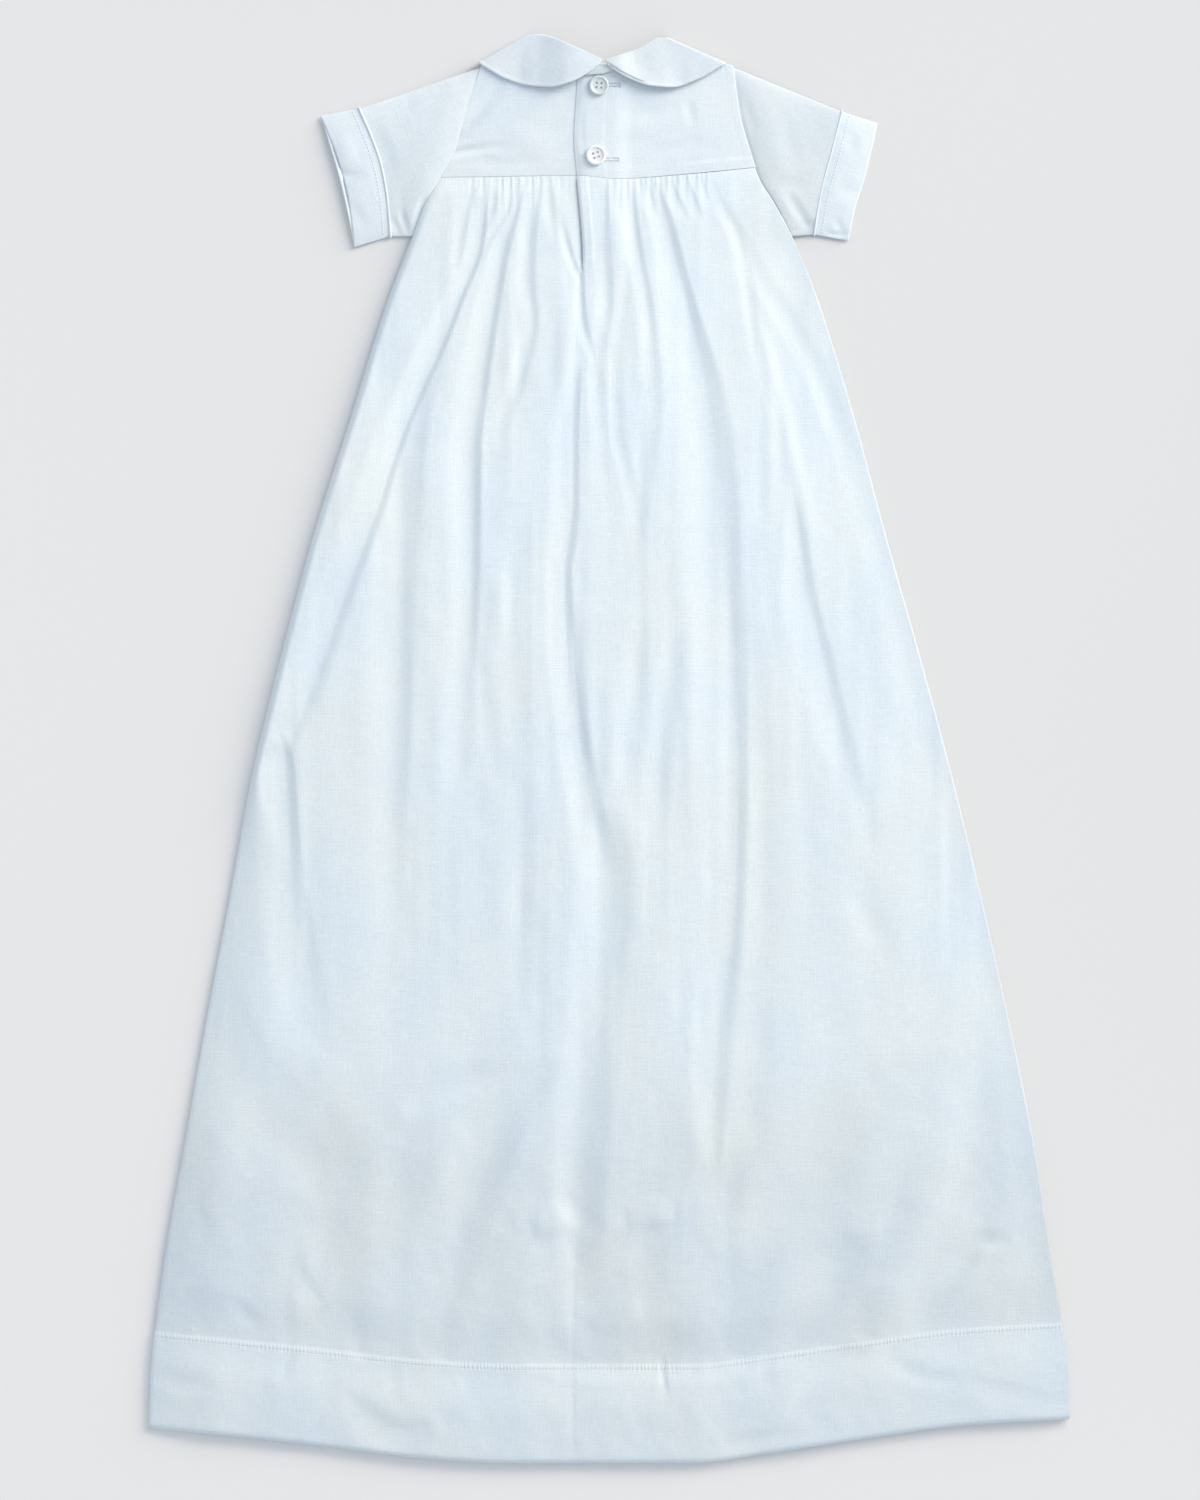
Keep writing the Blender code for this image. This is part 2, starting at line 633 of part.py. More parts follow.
def arm(side, edge, outwards, seam, end_upper, end_lower, piping):
    half = 0.5 * piping * outwards
    clear = 1.1 * GAP * outwards
    start = armhole(edge, outwards)
    sleeve_end = shifted(seam, -half - clear)
    ends = ((start, start), (sleeve_end, sleeve_end))
    tube("sleeve_" + side, ends, 6, outwards, puff=SLEEVE_PUFF)
    near = shifted(seam, -half)
    far = shifted(seam, half)
    ends = ((near, near), (far, far))
    tube("piping_" + side, ends, 3, outwards, raise_by=PIPING_RAISE, flat=True, colour=WHITE_COTTON)
    cuff_start = shifted(seam, half + clear)
    ends = ((cuff_start, cuff_start), (shifted(end_upper), shifted(end_lower)))
    tube("cuff_" + side, ends, 4, outwards, puff=CUFF_PUFF, flat=True)


# Buttons

def ring_points(radius, height):
    turns = 2.0 * np.pi * np.arange(BUTTON_SIDES) / BUTTON_SIDES
    return [(radius * math.cos(a), radius * math.sin(a), height) for a in turns]


def button(name, x, y, tone, hole_turn):
    """Four-hole button with a raised rim, lying level on the right back."""
    profile = ((5.2, 0.0), (BUTTON_RADIUS, 0.7), (BUTTON_RADIUS, 1.5), (5.4, 2.1), (4.7, 2.0), (4.0, 1.4))
    points = [p for radius, height in profile for p in ring_points(radius, height)]
    faces = [tuple(reversed(range(BUTTON_SIDES)))]
    for r in range(len(profile) - 1):
        for k in range(BUTTON_SIDES):
            n = (k + 1) % BUTTON_SIDES
            faces.append((r * BUTTON_SIDES + k, r * BUTTON_SIDES + n,
                          (r + 1) * BUTTON_SIDES + n, (r + 1) * BUTTON_SIDES + k))
    faces.append(tuple(range((len(profile) - 1) * BUTTON_SIDES, len(profile) * BUTTON_SIDES)))
    mesh = bpy.data.meshes.new(name)
    mesh.from_pydata((np.array(points) * MM).tolist(), [], faces)
    made = add_object(name, mesh, (tone, tone, tone), 0.25)
    seat = YOKE_LIFT + 3.0 * LAYER
    made.location = (x * MM, y * MM, seat * MM)
    for k in range(4):
        turn = math.radians(hole_turn + 90.0 * k)
        hole_at = (x + BUTTON_HOLE_SPREAD * math.cos(turn), y + BUTTON_HOLE_SPREAD * math.sin(turn), seat)
        bpy.ops.mesh.primitive_cylinder_add(vertices=10, radius=BUTTON_HOLE_RADIUS * MM, depth=8.0 * MM,
                                            location=[v * MM for v in hole_at])
        cutter = bpy.context.active_object
        cutter.name = name + "_hole_" + str(k)
        cutter.hide_render = True
        cutter.display_type = "WIRE"
        cut = made.modifiers.new("hole_" + str(k), "BOOLEAN")
        cut.operation = "DIFFERENCE"
        cut.solver = "EXACT"
        cut.object = cutter


def main():
    for old in list(bpy.data.objects):
        bpy.data.objects.remove(old, do_unlink=True)
    skirt_front()
    skirt_back()
    yokes()
    neck_binding()
    collar("collar_left", COLLAR_BACK_LEFT, COLLAR_FRONT_LEFT, (-0.475, 0.880))
    collar("collar_right", COLLAR_BACK_RIGHT, COLLAR_FRONT_RIGHT, (0.358, 0.934))
    arm("left", left_edge, -1.0, CUFF_SEAM_LEFT, CUFF_END_LEFT_UPPER, CUFF_END_LEFT_LOWER, PIPING_LEFT)
    arm("right", right_edge, 1.0, CUFF_SEAM_RIGHT, CUFF_END_RIGHT, CUFF_END_RIGHT, PIPING_RIGHT)
    for name, x, y, tone, hole_turn in BUTTONS:
        button(name, x, y, tone, hole_turn)


main()
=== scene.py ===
"""Looks of the christening gown: thin bluish-white cotton, laid flat with its back upwards.

Sizes are in millimetres in the part's own frame, with +X to the right, +Y towards the collar and +Z up, and
the meshes are made in metres. Creases are placed in the picture's pixels, 0.6 mm each.
"""
import math

import bpy
import numpy as np
from mathutils import Matrix, Vector


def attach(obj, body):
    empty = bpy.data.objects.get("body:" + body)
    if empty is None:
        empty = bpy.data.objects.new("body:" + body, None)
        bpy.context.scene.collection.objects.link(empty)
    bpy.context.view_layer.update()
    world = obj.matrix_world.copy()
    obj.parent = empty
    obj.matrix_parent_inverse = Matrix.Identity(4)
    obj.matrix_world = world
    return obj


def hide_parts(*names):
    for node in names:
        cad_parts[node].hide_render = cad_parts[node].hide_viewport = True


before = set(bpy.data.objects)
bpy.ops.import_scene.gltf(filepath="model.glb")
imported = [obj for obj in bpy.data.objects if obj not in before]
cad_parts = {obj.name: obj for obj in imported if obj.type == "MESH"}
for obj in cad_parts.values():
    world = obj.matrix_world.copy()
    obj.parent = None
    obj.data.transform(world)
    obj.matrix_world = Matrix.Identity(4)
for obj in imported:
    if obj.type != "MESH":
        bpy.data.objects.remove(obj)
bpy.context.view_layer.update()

MM = 0.001
PIXEL = 0.6
PICTURE_MIDDLE = (609.5, 746.5)
UP = np.array([0.0, 0.0, 1.0])

# Sizes shared with the solids
CLOTH = 1.4
GAP = 0.3
LAYER = CLOTH + GAP
TWO_LAYERS = LAYER + CLOTH
HEM_DEPTH = 57.0
HEM_STEP = 2.0
SKIRT_LENGTH = 765.0
HEM_LINE = SKIRT_LENGTH - HEM_DEPTH
YOKE_LIFT = LAYER
LIFT_FOOT = 292.0
SEAM_HEIGHT = 341.0
SLIT_LENGTH = 57.0
LAP_LENGTH = 41.0
SKIRT_UNDERLAP = 11.0
YOKE_UNDERLAP = 21.0
LAP_LEVEL_TO = 2.5
LAP_SINKS_TO = 15.0
FOLD_CROWDING = 0.5
CROWDING_LENGTH = 90.0
GUIDE_COLUMNS = 68
SLIT_COLUMN = 32
ARMHOLE_TOP = 407.2
ARMHOLE_FOOT = 306.0
PIPING_LEFT = 1.8
PIPING_RIGHT = 1.4
BINDING_WIDTH = 4.8
BINDING_THICK = 1.0
BINDING_FROM = -18.0
BINDING_TO = 30.0

# The side outlines as height, left and right. The closing edge is a height and a place across, and the other
# lines are places across and up.
SIDES = (
    (408, -77, 74.1), (380, -86.2, 78), (355, -93.6, 85), (341, -101, 89.6), (325, -110.7, 99.3),
    (305, -118.7, 110.1), (268, -133, 125.1), (196, -155.7, 147.3), (124, -178.5, 166.5),
    (52, -197.7, 186.9), (-20, -215.1, 206.1), (-92, -228.3, 223.5), (-164, -242.1, 239.7),
    (-236, -254.7, 254.1), (-308, -267.3, 265.2), (-380, -275.8, 275.6), (-409, -276.6, 276.6))
SEAM = ((-101, 341), (-60, 341.6), (-20, 342.2), (5, 340.2), (40, 342.4), (90, 347))
HEM = (
    (-276.6, -408.3), (-222, -413.7), (-168, -419.7), (-114, -426.3), (-60, -429.3), (48, -429.3),
    (102, -422.4), (156, -414.3), (210, -407), (276.6, -402.9))
CLOSING = ((410, -19), (397, -19.5), (364, -21.3), (342, -19.6))
YOKE_TOP_LEFT = ((-77, 408), (-47.5, 424.2), (-38, 423), (-29, 418.8), (-14, 412.6), (2, 408))
YOKE_TOP_RIGHT = ((-19, 407), (-4, 408), (4.5, 411), (18, 416), (26, 420.4), (33, 422), (74.1, 408))
YOKE_TOP_FRONT = (
    (-77, 408), (-47.5, 424), (-44, 411), (-36, 399.5), (-24, 390.5), (-10, 386.5), (4, 386.5), (17, 391),
    (26, 399.5), (31, 410), (34, 421.5), (74.1, 408))
# Folds of the back skirt: the column that each one follows, and its place across at these heights
FOLD_HEIGHTS = (341.0, 292.0, 208.0, 112.0, -8.0, -152.0, -302.0, -430.0)
GUIDES = (
    (12, (-68, -82, -116, -148, -188, -173, -165, -162)),
    (16, (-59, -74, -106, -118, -122, -120, -117, -115)), (20, (-51, -62, -75, -80, -83, -88, -91, -93)),
    (24, (-41, -47, -55, -51, -50, -52, -57, -58)),
    (SLIT_COLUMN, (-19.6, -16, -19, -25, -15, 3, -14, -19.5)), (38, (-2, -1, -1, 5, 18, 23, 16, 12)),
    (44, (14, 18, 28, 22, 39, 42, 38, 35)), (50, (29, 42, 62, 74, 80, 70, 67, 67)),
    (58, (54, 77, 97, 118, 146, 167, 162, 162)), (62, (64, 84, 121, 151, 183, 210, 225, 234)))
# How high the skirt's cloth stands at a length below the seam
FULLNESS = (
    (0, 0), (12, 1.2), (40, 2.6), (120, 3.5), (400, 3.7), (640, 3.6), (674, 3.5), (705, 2), (712, 2),
    (732, 2.6), (748, 2.1), (765, 1.3))

# The collar's inner line, its outer line and how far that one stands up, from the neck to the shoulder
COLLAR_BACK_LEFT = (
    (-4.2, 411.6, -6, 408.6, 0.6), (-9, 413.8, -13.5, 402.8, 1.6), (-16.5, 417.4, -23.5, 397.6, 2.4),
    (-25.5, 421.3, -35.5, 394.9, 2.2), (-34.5, 425, -48.5, 395.9, 1.5), (-42.5, 426.8, -62.5, 400.1, 0.6),
    (-48.6, 426.4, -78, 409, 0))
COLLAR_BACK_RIGHT = (
    (-2.4, 411, -1, 408, 0.6), (3.5, 413.2, 3.5, 404.6, 1.8), (11, 415.8, 13, 399.5, 2.8),
    (18, 418.4, 25, 395.5, 2.4), (24, 422, 38, 394.7, 1.6), (29.5, 424.4, 53, 399.6, 0.6),
    (34, 424.4, 69.3, 408.9, 0))
# The same two lines on the front, from the shoulder on
COLLAR_FRONT_LEFT = (
    (-46, 412, -72.5, 393), (-38, 399.5, -58, 375.5), (-25, 390, -36, 365.5), (-12, 385.6, -15, 365),
    (-5, 384.4, -5.5, 376))
COLLAR_FRONT_RIGHT = (
    (33, 410, 65.5, 393), (28, 399, 51, 375.5), (18, 390, 30, 365.5), (6, 385.6, 9, 365),
    (-1, 384.4, -0.5, 376))
# Height of what the collar lies on, and the lines where the cuffs start and end
COLLAR_BED = ((-80, 5.2), (-45, 5.3), (-25, 8.4), (4, 8.5), (15, 7.3), (32, 7), (46, 5.6), (80, 5.2))
CUFF_SEAM_LEFT = ((-150.3, 382.5), (-143.1, 366.3), (-137.1, 348.9), (-133.5, 329.7), (-131.4, 306))
CUFF_SEAM_RIGHT = ((139.5, 380.7), (132.3, 353.1), (127.5, 335.1), (124.8, 321), (122.7, 307))
CUFF_END_LEFT_UPPER = ((-173.1, 378.3), (-164.7, 357.9), (-158.7, 338.7), (-155.4, 322), (-152.9, 299.6))
CUFF_END_LEFT_LOWER = ((-173.1, 378.3), (-167.4, 359.9), (-161.6, 340), (-157.4, 322), (-152.9, 299.1))
CUFF_END_RIGHT = ((160.5, 373.8), (157.5, 360), (152.7, 340.5), (147, 322.5), (143.1, 303.3))

# Sizes of the looks alone. A pair is mostly a height or a share, and the width over which it runs out.
THIN = 0.9
FLOOR_CLEAR = 0.02
EDGE_ROUNDING = 0.36

# Depth of the skirt's creases: in its upper and low part, near the seam, and the curve that it follows
CREASE_DEPTH = (0.70, 1.08)
CREASE_DEPTH_AT_SEAM = 0.40
CREASE_POWER = 0.85
LEAST_RISE = 0.35
# Where creases near the seam are tight, in the picture, and how much wider their two sides are there
TIGHT_ABOVE = (190.0, 45.0)
TIGHT_WIDTHS = (1.9, 0.75)

# The skirt falls towards its side edges, where the cloth turns down to the table
LEFT_FALL = (0.62, 5.0)
LEFT_FALL_LOW = (0.85, 42.0)
RIGHT_FALL = (0.38, 110.0)
RIGHT_EDGE_RISE = (0.17, 15.0)
EDGE_DROP = (0.5, 2.5)
EDGE_SINK = 1.1
EDGE_SINK_WIDTHS = (4.0, 34.0)
BODY_SINK = 0.5
EDGE_WALL = 0.45
SIDE_TUCK = 0.9
SIDE_FOOT = 0.6

# Its seam, its hem, and its slit with the placket on the right
SEAM_DIP = (0.05, 1.0)
SEAM_RISE_RIGHT = (0.42, 8.0)
HEM_FOOT = 1.2
HEM_ROUND = 1.7
HEM_DROP = 0.7
HEM_RIDGE = 0.5
HEM_STITCHES_AT = HEM_LINE + 1.5
SLIT_UNDER = 1.2
SLIT_FADE = 9.0
SLIT_LEFT = (0.4, 9.0)
SLIT_LEFT_DIP = (0.3, 3.0)
SLIT_RIGHT = (0.62, 16.0)
SKIRT_LAP = 0.7
PLACKET = (0.25, 6.0)
PLACKET_DIP = (0.7, 0.8)

# The front skirt: how far it lies inside the back one, its edge's thickness, and the hem's extra thickness
FRONT_INSET = 1.0
FRONT_EDGE = 0.6
FRONT_HEM = 0.3

# The yoke's lap and facing, and the seam allowances pressed to its inside
YOKE_LAP = 0.66
YOKE_RUNS_UNDER = 0.45
FACING = (0.10, 17.0)
CLOSING_FOLD = (0.75, 2.2)
ALLOWANCES = (0.10, 0.32)
ALLOWANCE_DEPTH = 5.6
ARMHOLE_ALLOWANCE = (0.05, 3.0)

# The collar: the reach and direction of its fold at the shoulder, its rise, and the under collar's edge
COLLAR_FOLD_REACH = 0.16
COLLAR_TURNS_TO = {"left": (-0.475, 0.880), "right": (0.358, 0.934)}
COLLAR_RISE = 0.55
UNDER_COLLAR = (0.85, 2.0)

# The sleeves and cuffs lie lower than two layers of cloth and puff up between their ends
SLEEVE_UNDER = 0.5
ARM_SINK = 0.9
SLEEVE_PUFF = 1.6
CUFF_PUFF = 0.7
# The piping's radius as a share of its width
CORD_SHARE = 0.46
# How much lower a sleeve's upper half starts, and how far a cuff's upper and lower half stand up at its mouth
SLEEVE_DIP = {"left": 0.06, "right": 0.5}
CUFF_GAPE = {"left": 0.4, "right": 0.3}
CUFF_LIP = {"left": 1.9, "right": 0.0}
CUFF_STITCHES_ON = {"left": 5, "right": 6}

# Rows of stitches: pitch, length and radius; the other stitches: length and radius
HEM_STITCH = (2.6, 1.6, 0.14)
CUFF_STITCH = (2.1, 1.35, 0.2)
BUTTONHOLE_PITCH = 0.42
BUTTONHOLE_STITCH = (1.35, 0.23)
BAR_STITCH = (1.3, 0.22)
BUTTON_THREAD_RADIUS = 0.16

# Rows of the back skirt: from, to and step in millimetres below the seam, and its columns to each guide
SKIRT_ROWS = (
    (0.0, 12.0, 0.8), (12.0, 60.0, 1.5), (60.0, HEM_LINE - 6.0, 2.45), (HEM_LINE - 6.0, HEM_LINE + 6.0, 0.9),
    (HEM_LINE + 6.0, SKIRT_LENGTH - 1.2, 2.2), (SKIRT_LENGTH - 0.5, SKIRT_LENGTH + 0.1, 0.5))
SKIRT_COLUMNS_EACH = 3.8
EDGE_COLUMNS = np.array([0.0, 0.006, 0.025, 0.06, 0.12, 0.2])
# The hem's turn-up: how far back up it runs, and how far below the outer cloth
HEM_TURN = ((-0.35, 0.35), (-0.35, 0.95), (0.4, 1.25), (6.0, 1.3), (20.0, 1.3), (40.0, 1.3), (56.0, 1.2))
# The cuff's lining: how far in from its mouth, and how far inside the outer cloth
CUFF_TURN = ((-0.25, 0.3), (-0.1, 0.5), (0.35, 0.6), (0.9, 0.6), (1.5, 0.65), (2.1, 0.7), (2.8, 0.7),
             (5.0, 0.7), (9.0, 0.7), (14.0, 0.7))
# Where the skirt's upper part ends and its low part starts, below the seam, and over how much it does so
UPPER_PART = (420.0, 200.0)
LOW_PART = (480.0, 160.0)
# Wrinkles: the part of the skirt, height, size across and along, seed
SKIRT_WRINKLES = (
    ("upper", 0.20, 6.0, 85.0, 1), ("all", 0.34, 26.0, 120.0, 2), ("all", 0.10, 9.0, 13.0, 3),
    ("all", 0.20, 30.0, 34.0, 4), ("low", 0.22, 17.0, 22.0, 5), ("low", 0.09, 7.0, 7.0, 6))
# Tight gathers under the seam: from and to in the picture, and the width over which they end
TICK_SPANS = ((462.0, 566.0, 8.0), (600.0, 702.0, 14.0))
TICK_HEIGHT = 0.14

# Creases of the back skirt, from their upper end down. Each row is a place across and down in the picture,
# the widths of the gentle side on the left and of the steep side on the right in pixels, and the depth in
# millimetres. A depth below zero makes a ridge.
SKIRT_CREASES = {
    "left outer": (
        (490, 186, 8, 5, 0), (487, 205, 9, 5, 0.9), (482, 247, 14, 6, 1.6), (462, 300, 18, 6, 2.1),
        (442, 352, 24, 6, 2.3), (423, 393, 26, 6, 2.3), (400, 450, 28, 7, 2.2), (383, 505, 30, 9, 2.2),
        (352, 590, 32, 11, 2.1), (320, 680, 30, 11, 1.9), (300, 730, 28, 10, 1.2), (291, 750, 24, 9, 0.2)),
    "left outer, below its bend": (
        (284, 738, 26, 8, 0.2), (289, 752, 34, 10, 2.1), (293, 800, 36, 13, 2.4), (296, 850, 38, 16, 2),
        (302, 905, 38, 20, 1.3), (312, 960, 36, 22, 0.8), (328, 1015, 30, 22, 0.4), (342, 1060, 24, 20, 0)),
    "left swirl": (
        (232, 985, 40, 30, 0), (242, 1030, 46, 46, 1.1), (262, 1070, 52, 56, 1.5), (292, 1102, 58, 60, 1.5),
        (332, 1130, 58, 56, 1.1), (378, 1156, 46, 46, 0)),
    "left swirl ridge": (
        (262, 940, 30, 26, 0), (282, 1010, 34, 30, -0.3), (320, 1055, 34, 30, -0.3),
        (365, 1085, 30, 28, 0)),
    "left side slope": (
        (250, 800, 18, 14, 0), (238, 860, 20, 16, 0.5), (224, 950, 22, 18, 0.9), (212, 1040, 22, 18, 0.8),
        (205, 1110, 16, 14, 0)),
    "left broad": (
        (458, 310, 16, 12, 0), (440, 360, 22, 16, 0.9), (428, 400, 26, 18, 1.7), (418, 455, 30, 20, 2.4),
        (411, 560, 32, 20, 2.6), (408, 650, 32, 19, 2.4), (405, 740, 30, 16, 1.7), (402, 800, 28, 14, 1.1),
        (400, 870, 26, 14, 0.4), (398, 930, 24, 14, 0)),
    "left middle": (
        (524, 186, 6, 5, 0), (521, 200, 9, 6, 1.2), (506, 255, 16, 8, 1.9), (495, 320, 22, 8, 2.2),
        (484, 395, 28, 9, 2.3), (478, 450, 28, 10, 2.4), (477, 550, 26, 10, 2.2), (475, 610, 24, 10, 1.8),
        (472, 660, 24, 12, 1), (469, 730, 22, 16, 0.6), (465, 800, 20, 16, 0)),
    "left middle twin": (
        (515, 186, 5, 4, 0), (509, 212, 6, 5, 0.9), (497, 232, 7, 5, 0.9), (484, 256, 8, 5, 0)),
    "left inner": (
        (541, 184, 7, 6, 0), (538, 205, 10, 8, 1.2), (533, 240, 12, 9, 1.5), (532, 282, 12, 9, 1.2),
        (536, 318, 12, 8, 1), (527, 368, 14, 9, 1.1), (511, 415, 14, 9, 0.8), (500, 450, 12, 9, 0)),
    "left inner, soft": (
        (528, 500, 18, 14, 0), (526, 560, 20, 16, 0.9), (525, 650, 20, 16, 0.8), (527, 760, 22, 16, 0.6),
        (530, 860, 22, 16, 0.8), (527, 940, 22, 16, 0.7), (522, 1020, 20, 14, 0)),
    "left blob": ((508, 560, 14, 12, 0), (506, 610, 14, 12, -0.9), (504, 650, 14, 12, 0)),
    "left streak": ((485, 640, 12, 10, 0), (495, 720, 14, 12, 0.7), (505, 800, 14, 12, 0)),
    "left short one": (
        (474, 188, 6, 5, 0), (470, 205, 8, 6, 0.8), (462, 250, 8, 6, 0.4), (458, 280, 8, 6, 0)),
    "left short two": ((497, 186, 5, 5, 0), (496, 200, 5, 6, 1.1), (492, 222, 6, 6, 0)),
    "left short three": ((552, 180, 5, 5, 0), (553, 200, 7, 6, 1.1), (557, 240, 7, 6, 0)),
    "to the slit": (
        (560, 205, 6, 5, 0), (568, 240, 7, 5, 0.7), (577, 268, 7, 4, 1.1), (580, 276, 6, 4, 0.4)),
    "below the slit": (
        (583, 272, 6, 5, 0.9), (583, 290, 8, 5, 1.2), (585, 318, 9, 5, 1), (591, 342, 9, 5, 0.7),
        (598, 366, 8, 5, 0)),
    "centre wedge": (
        (574, 290, 10, 9, 0), (572, 330, 12, 10, -0.7), (570, 375, 12, 10, -0.7), (568, 420, 12, 8, 0)),
    "centre": (
        (581, 364, 14, 6, 0), (578, 392, 20, 7, 1.4), (576, 440, 24, 8, 1.8), (576, 500, 24, 8, 2),
        (573, 540, 24, 9, 2), (568, 572, 22, 9, 2), (570, 620, 22, 11, 2.1), (576, 690, 22, 12, 2.2),
        (585, 750, 24, 13, 2.3), (597, 805, 26, 15, 2.2), (608, 850, 28, 18, 1.2), (614, 880, 28, 18, 0)),
    "centre twin": ((578, 610, 6, 7, 0), (580, 660, 7, 8, 0.8), (588, 740, 8, 9, 0.9), (602, 800, 8, 9, 0)),
    "centre hollow": (
        (606, 808, 16, 20, 0), (618, 838, 26, 28, 1.8), (621, 865, 32, 30, 2.6), (621, 905, 36, 30, 2.6),
        (617, 955, 36, 30, 2.3), (611, 1005, 34, 32, 2.2), (605, 1060, 32, 34, 2.1),
        (600, 1110, 30, 34, 2.1), (595, 1160, 28, 33, 2.1), (593, 1206, 26, 32, 2),
        (593, 1246, 24, 30, 1.4), (592, 1290, 20, 26, 0.7), (590, 1325, 14, 20, 0)),
    "centre press": (
        (577, 1236, 6, 5, 0), (576, 1290, 7, 5, 0.17), (575, 1360, 6, 5, 0.13), (575, 1420, 6, 5, 0.13),
        (575, 1452, 6, 5, 0)),
    "crow foot left": (
        (582, 1228, 18, 12, 0), (566, 1231, 30, 18, -1), (549, 1233, 28, 17, -0.9), (536, 1238, 16, 12, 0)),
    "crow foot lower": ((585, 1240, 9, 8, 0), (580, 1252, 12, 10, 0.5), (578, 1266, 8, 8, 0)),
    "crow foot right": (
        (674, 1222, 16, 12, 0), (656, 1222, 28, 14, -0.9), (641, 1224, 24, 14, -0.7),
        (630, 1229, 14, 10, 0)),
    "crow foot right, below": (
        (662, 1222, 14, 14, 0), (660, 1242, 22, 24, 0.45), (658, 1280, 22, 24, 0.4),
        (656, 1308, 14, 20, 0.2), (655, 1330, 12, 14, 0)),
    "right of centre one": (
        (606, 184, 6, 5, 0), (607, 205, 9, 7, 1.2), (608, 253, 12, 9, 1), (610, 297, 12, 9, 0.9),
        (605, 340, 12, 9, 0.8), (602, 372, 12, 9, 0.8), (605, 440, 12, 9, 0.6), (607, 510, 12, 9, 0)),
    "right of centre two": (
        (630, 262, 9, 8, 0), (626, 314, 10, 9, 0.7), (621, 380, 10, 9, 0.6), (622, 430, 10, 9, 0.6),
        (634, 485, 10, 9, 0.4), (642, 540, 10, 9, 0)),
    "right inner": (
        (632, 180, 5, 5, 0), (634, 198, 10, 6, 1.3), (637, 225, 13, 6, 1.4), (643, 264, 13, 7, 1.1),
        (650, 302, 13, 8, 0.9), (656, 350, 14, 10, 0.7), (660, 405, 16, 12, 0.6), (654, 450, 16, 12, 0.6),
        (646, 500, 16, 12, 0.5), (634, 580, 16, 12, 0)),
    "right soft one": (
        (648, 600, 14, 12, 0), (641, 680, 16, 14, 0.7), (634, 760, 16, 14, 0.6), (634, 810, 14, 12, 0)),
    "right soft two": (
        (688, 600, 14, 12, 0), (678, 680, 18, 16, 0.8), (666, 780, 18, 16, 0.8), (660, 850, 16, 14, 0)),
    "right short one": ((619, 180, 5, 4, 0), (620, 196, 6, 5, 0.9), (621, 220, 6, 5, 0)),
    "right short two": ((648, 178, 5, 4, 0), (652, 196, 6, 5, 1.1), (659, 222, 6, 5, 0)),
    "right short three": ((671, 176, 5, 4, 0), (676, 192, 7, 5, 1.2), (688, 218, 7, 5, 0)),
    "right short four": ((687, 176, 5, 4, 0), (693, 194, 7, 5, 1), (703, 220, 7, 5, 0)),
    "right short five": ((700, 174, 5, 4, 0), (704, 186, 6, 5, 0.8), (710, 204, 6, 5, 0)),
    "right main": (
        (657, 180, 7, 6, 0), (661, 196, 11, 8, 1.5), (668, 215, 14, 9, 1.9), (677, 250, 22, 10, 2.3),
        (690, 300, 34, 12, 2.6), (704, 350, 40, 17, 2.9), (716, 400, 46, 24, 3), (724, 450, 46, 26, 3),
        (729, 500, 48, 27, 3), (733, 560, 50, 26, 2.9), (739, 620, 46, 22, 2.8), (742, 700, 44, 16, 2.8),
        (743, 800, 42, 13, 2.5), (741, 880, 38, 12, 2.2), (738, 930, 34, 13, 2), (730, 990, 30, 16, 1.8),
        (724, 1040, 28, 17, 1.5), (721, 1094, 24, 16, 1.2), (719, 1140, 20, 12, 0.7),
        (717, 1180, 18, 10, 0)),
    "right soft ridge": (
        (752, 300, 30, 10, 0), (768, 345, 34, 10, -0.7), (784, 400, 40, 12, -1.1), (796, 450, 44, 12, -1.1),
        (808, 500, 44, 12, -0.8), (816, 545, 40, 12, -0.3), (820, 590, 40, 12, 0)),
    "right outer": (
        (714, 178, 5, 5, 0), (724, 205, 7, 8, 0.5), (735, 222, 8, 8, 0.6), (746, 255, 9, 9, 0.5),
        (754, 300, 9, 10, 0.6), (760, 345, 9, 10, 0.4), (770, 385, 9, 10, 0.15), (786, 440, 10, 10, 0.15),
        (796, 490, 14, 10, 0.6), (803, 535, 16, 10, 1.3), (811, 590, 26, 11, 1.7), (826, 650, 30, 12, 1.8),
        (840, 710, 28, 13, 1.4), (852, 755, 24, 14, 1), (866, 800, 20, 14, 0.5), (882, 850, 16, 14, 0)),
    "right soft three": (
        (760, 620, 20, 14, 0), (766, 700, 24, 16, 1), (770, 800, 24, 16, 1), (771, 900, 24, 16, 1),
        (768, 980, 22, 16, 0.7), (764, 1060, 20, 14, 0)),
    "right side one": (
        (722, 184, 6, 6, 0), (731, 209, 8, 8, 0.3), (748, 243, 12, 10, 0.4), (768, 280, 14, 12, 0.5),
        (788, 310, 14, 12, 0.6), (808, 345, 14, 14, 0.6), (826, 380, 14, 14, 0.5), (845, 425, 14, 14, 0)),
    "right side two": (
        (790, 300, 12, 12, 0), (815, 350, 12, 14, 0.5), (842, 420, 14, 16, 0.6), (868, 500, 14, 16, 0)),
    "right side three": (
        (850, 480, 20, 18, 0), (878, 580, 22, 20, -0.5), (902, 680, 22, 20, -0.5), (922, 780, 20, 18, 0)),
    "right far soft": ((858, 860, 16, 18, 0), (878, 915, 20, 22, 0.7), (905, 960, 18, 20, 0)),
    "right low one": (
        (962, 1062, 20, 22, 0), (930, 1098, 44, 34, 1.2), (886, 1132, 50, 38, 2), (846, 1166, 52, 38, 2.6),
        (806, 1206, 48, 36, 2.5), (776, 1230, 40, 34, 1.5), (744, 1250, 30, 26, 0)),
    "right low two": (
        (868, 1236, 20, 20, 0), (856, 1272, 40, 28, 1.5), (834, 1304, 40, 28, 1.7),
        (808, 1334, 34, 26, 1.2), (792, 1356, 22, 20, 0)),
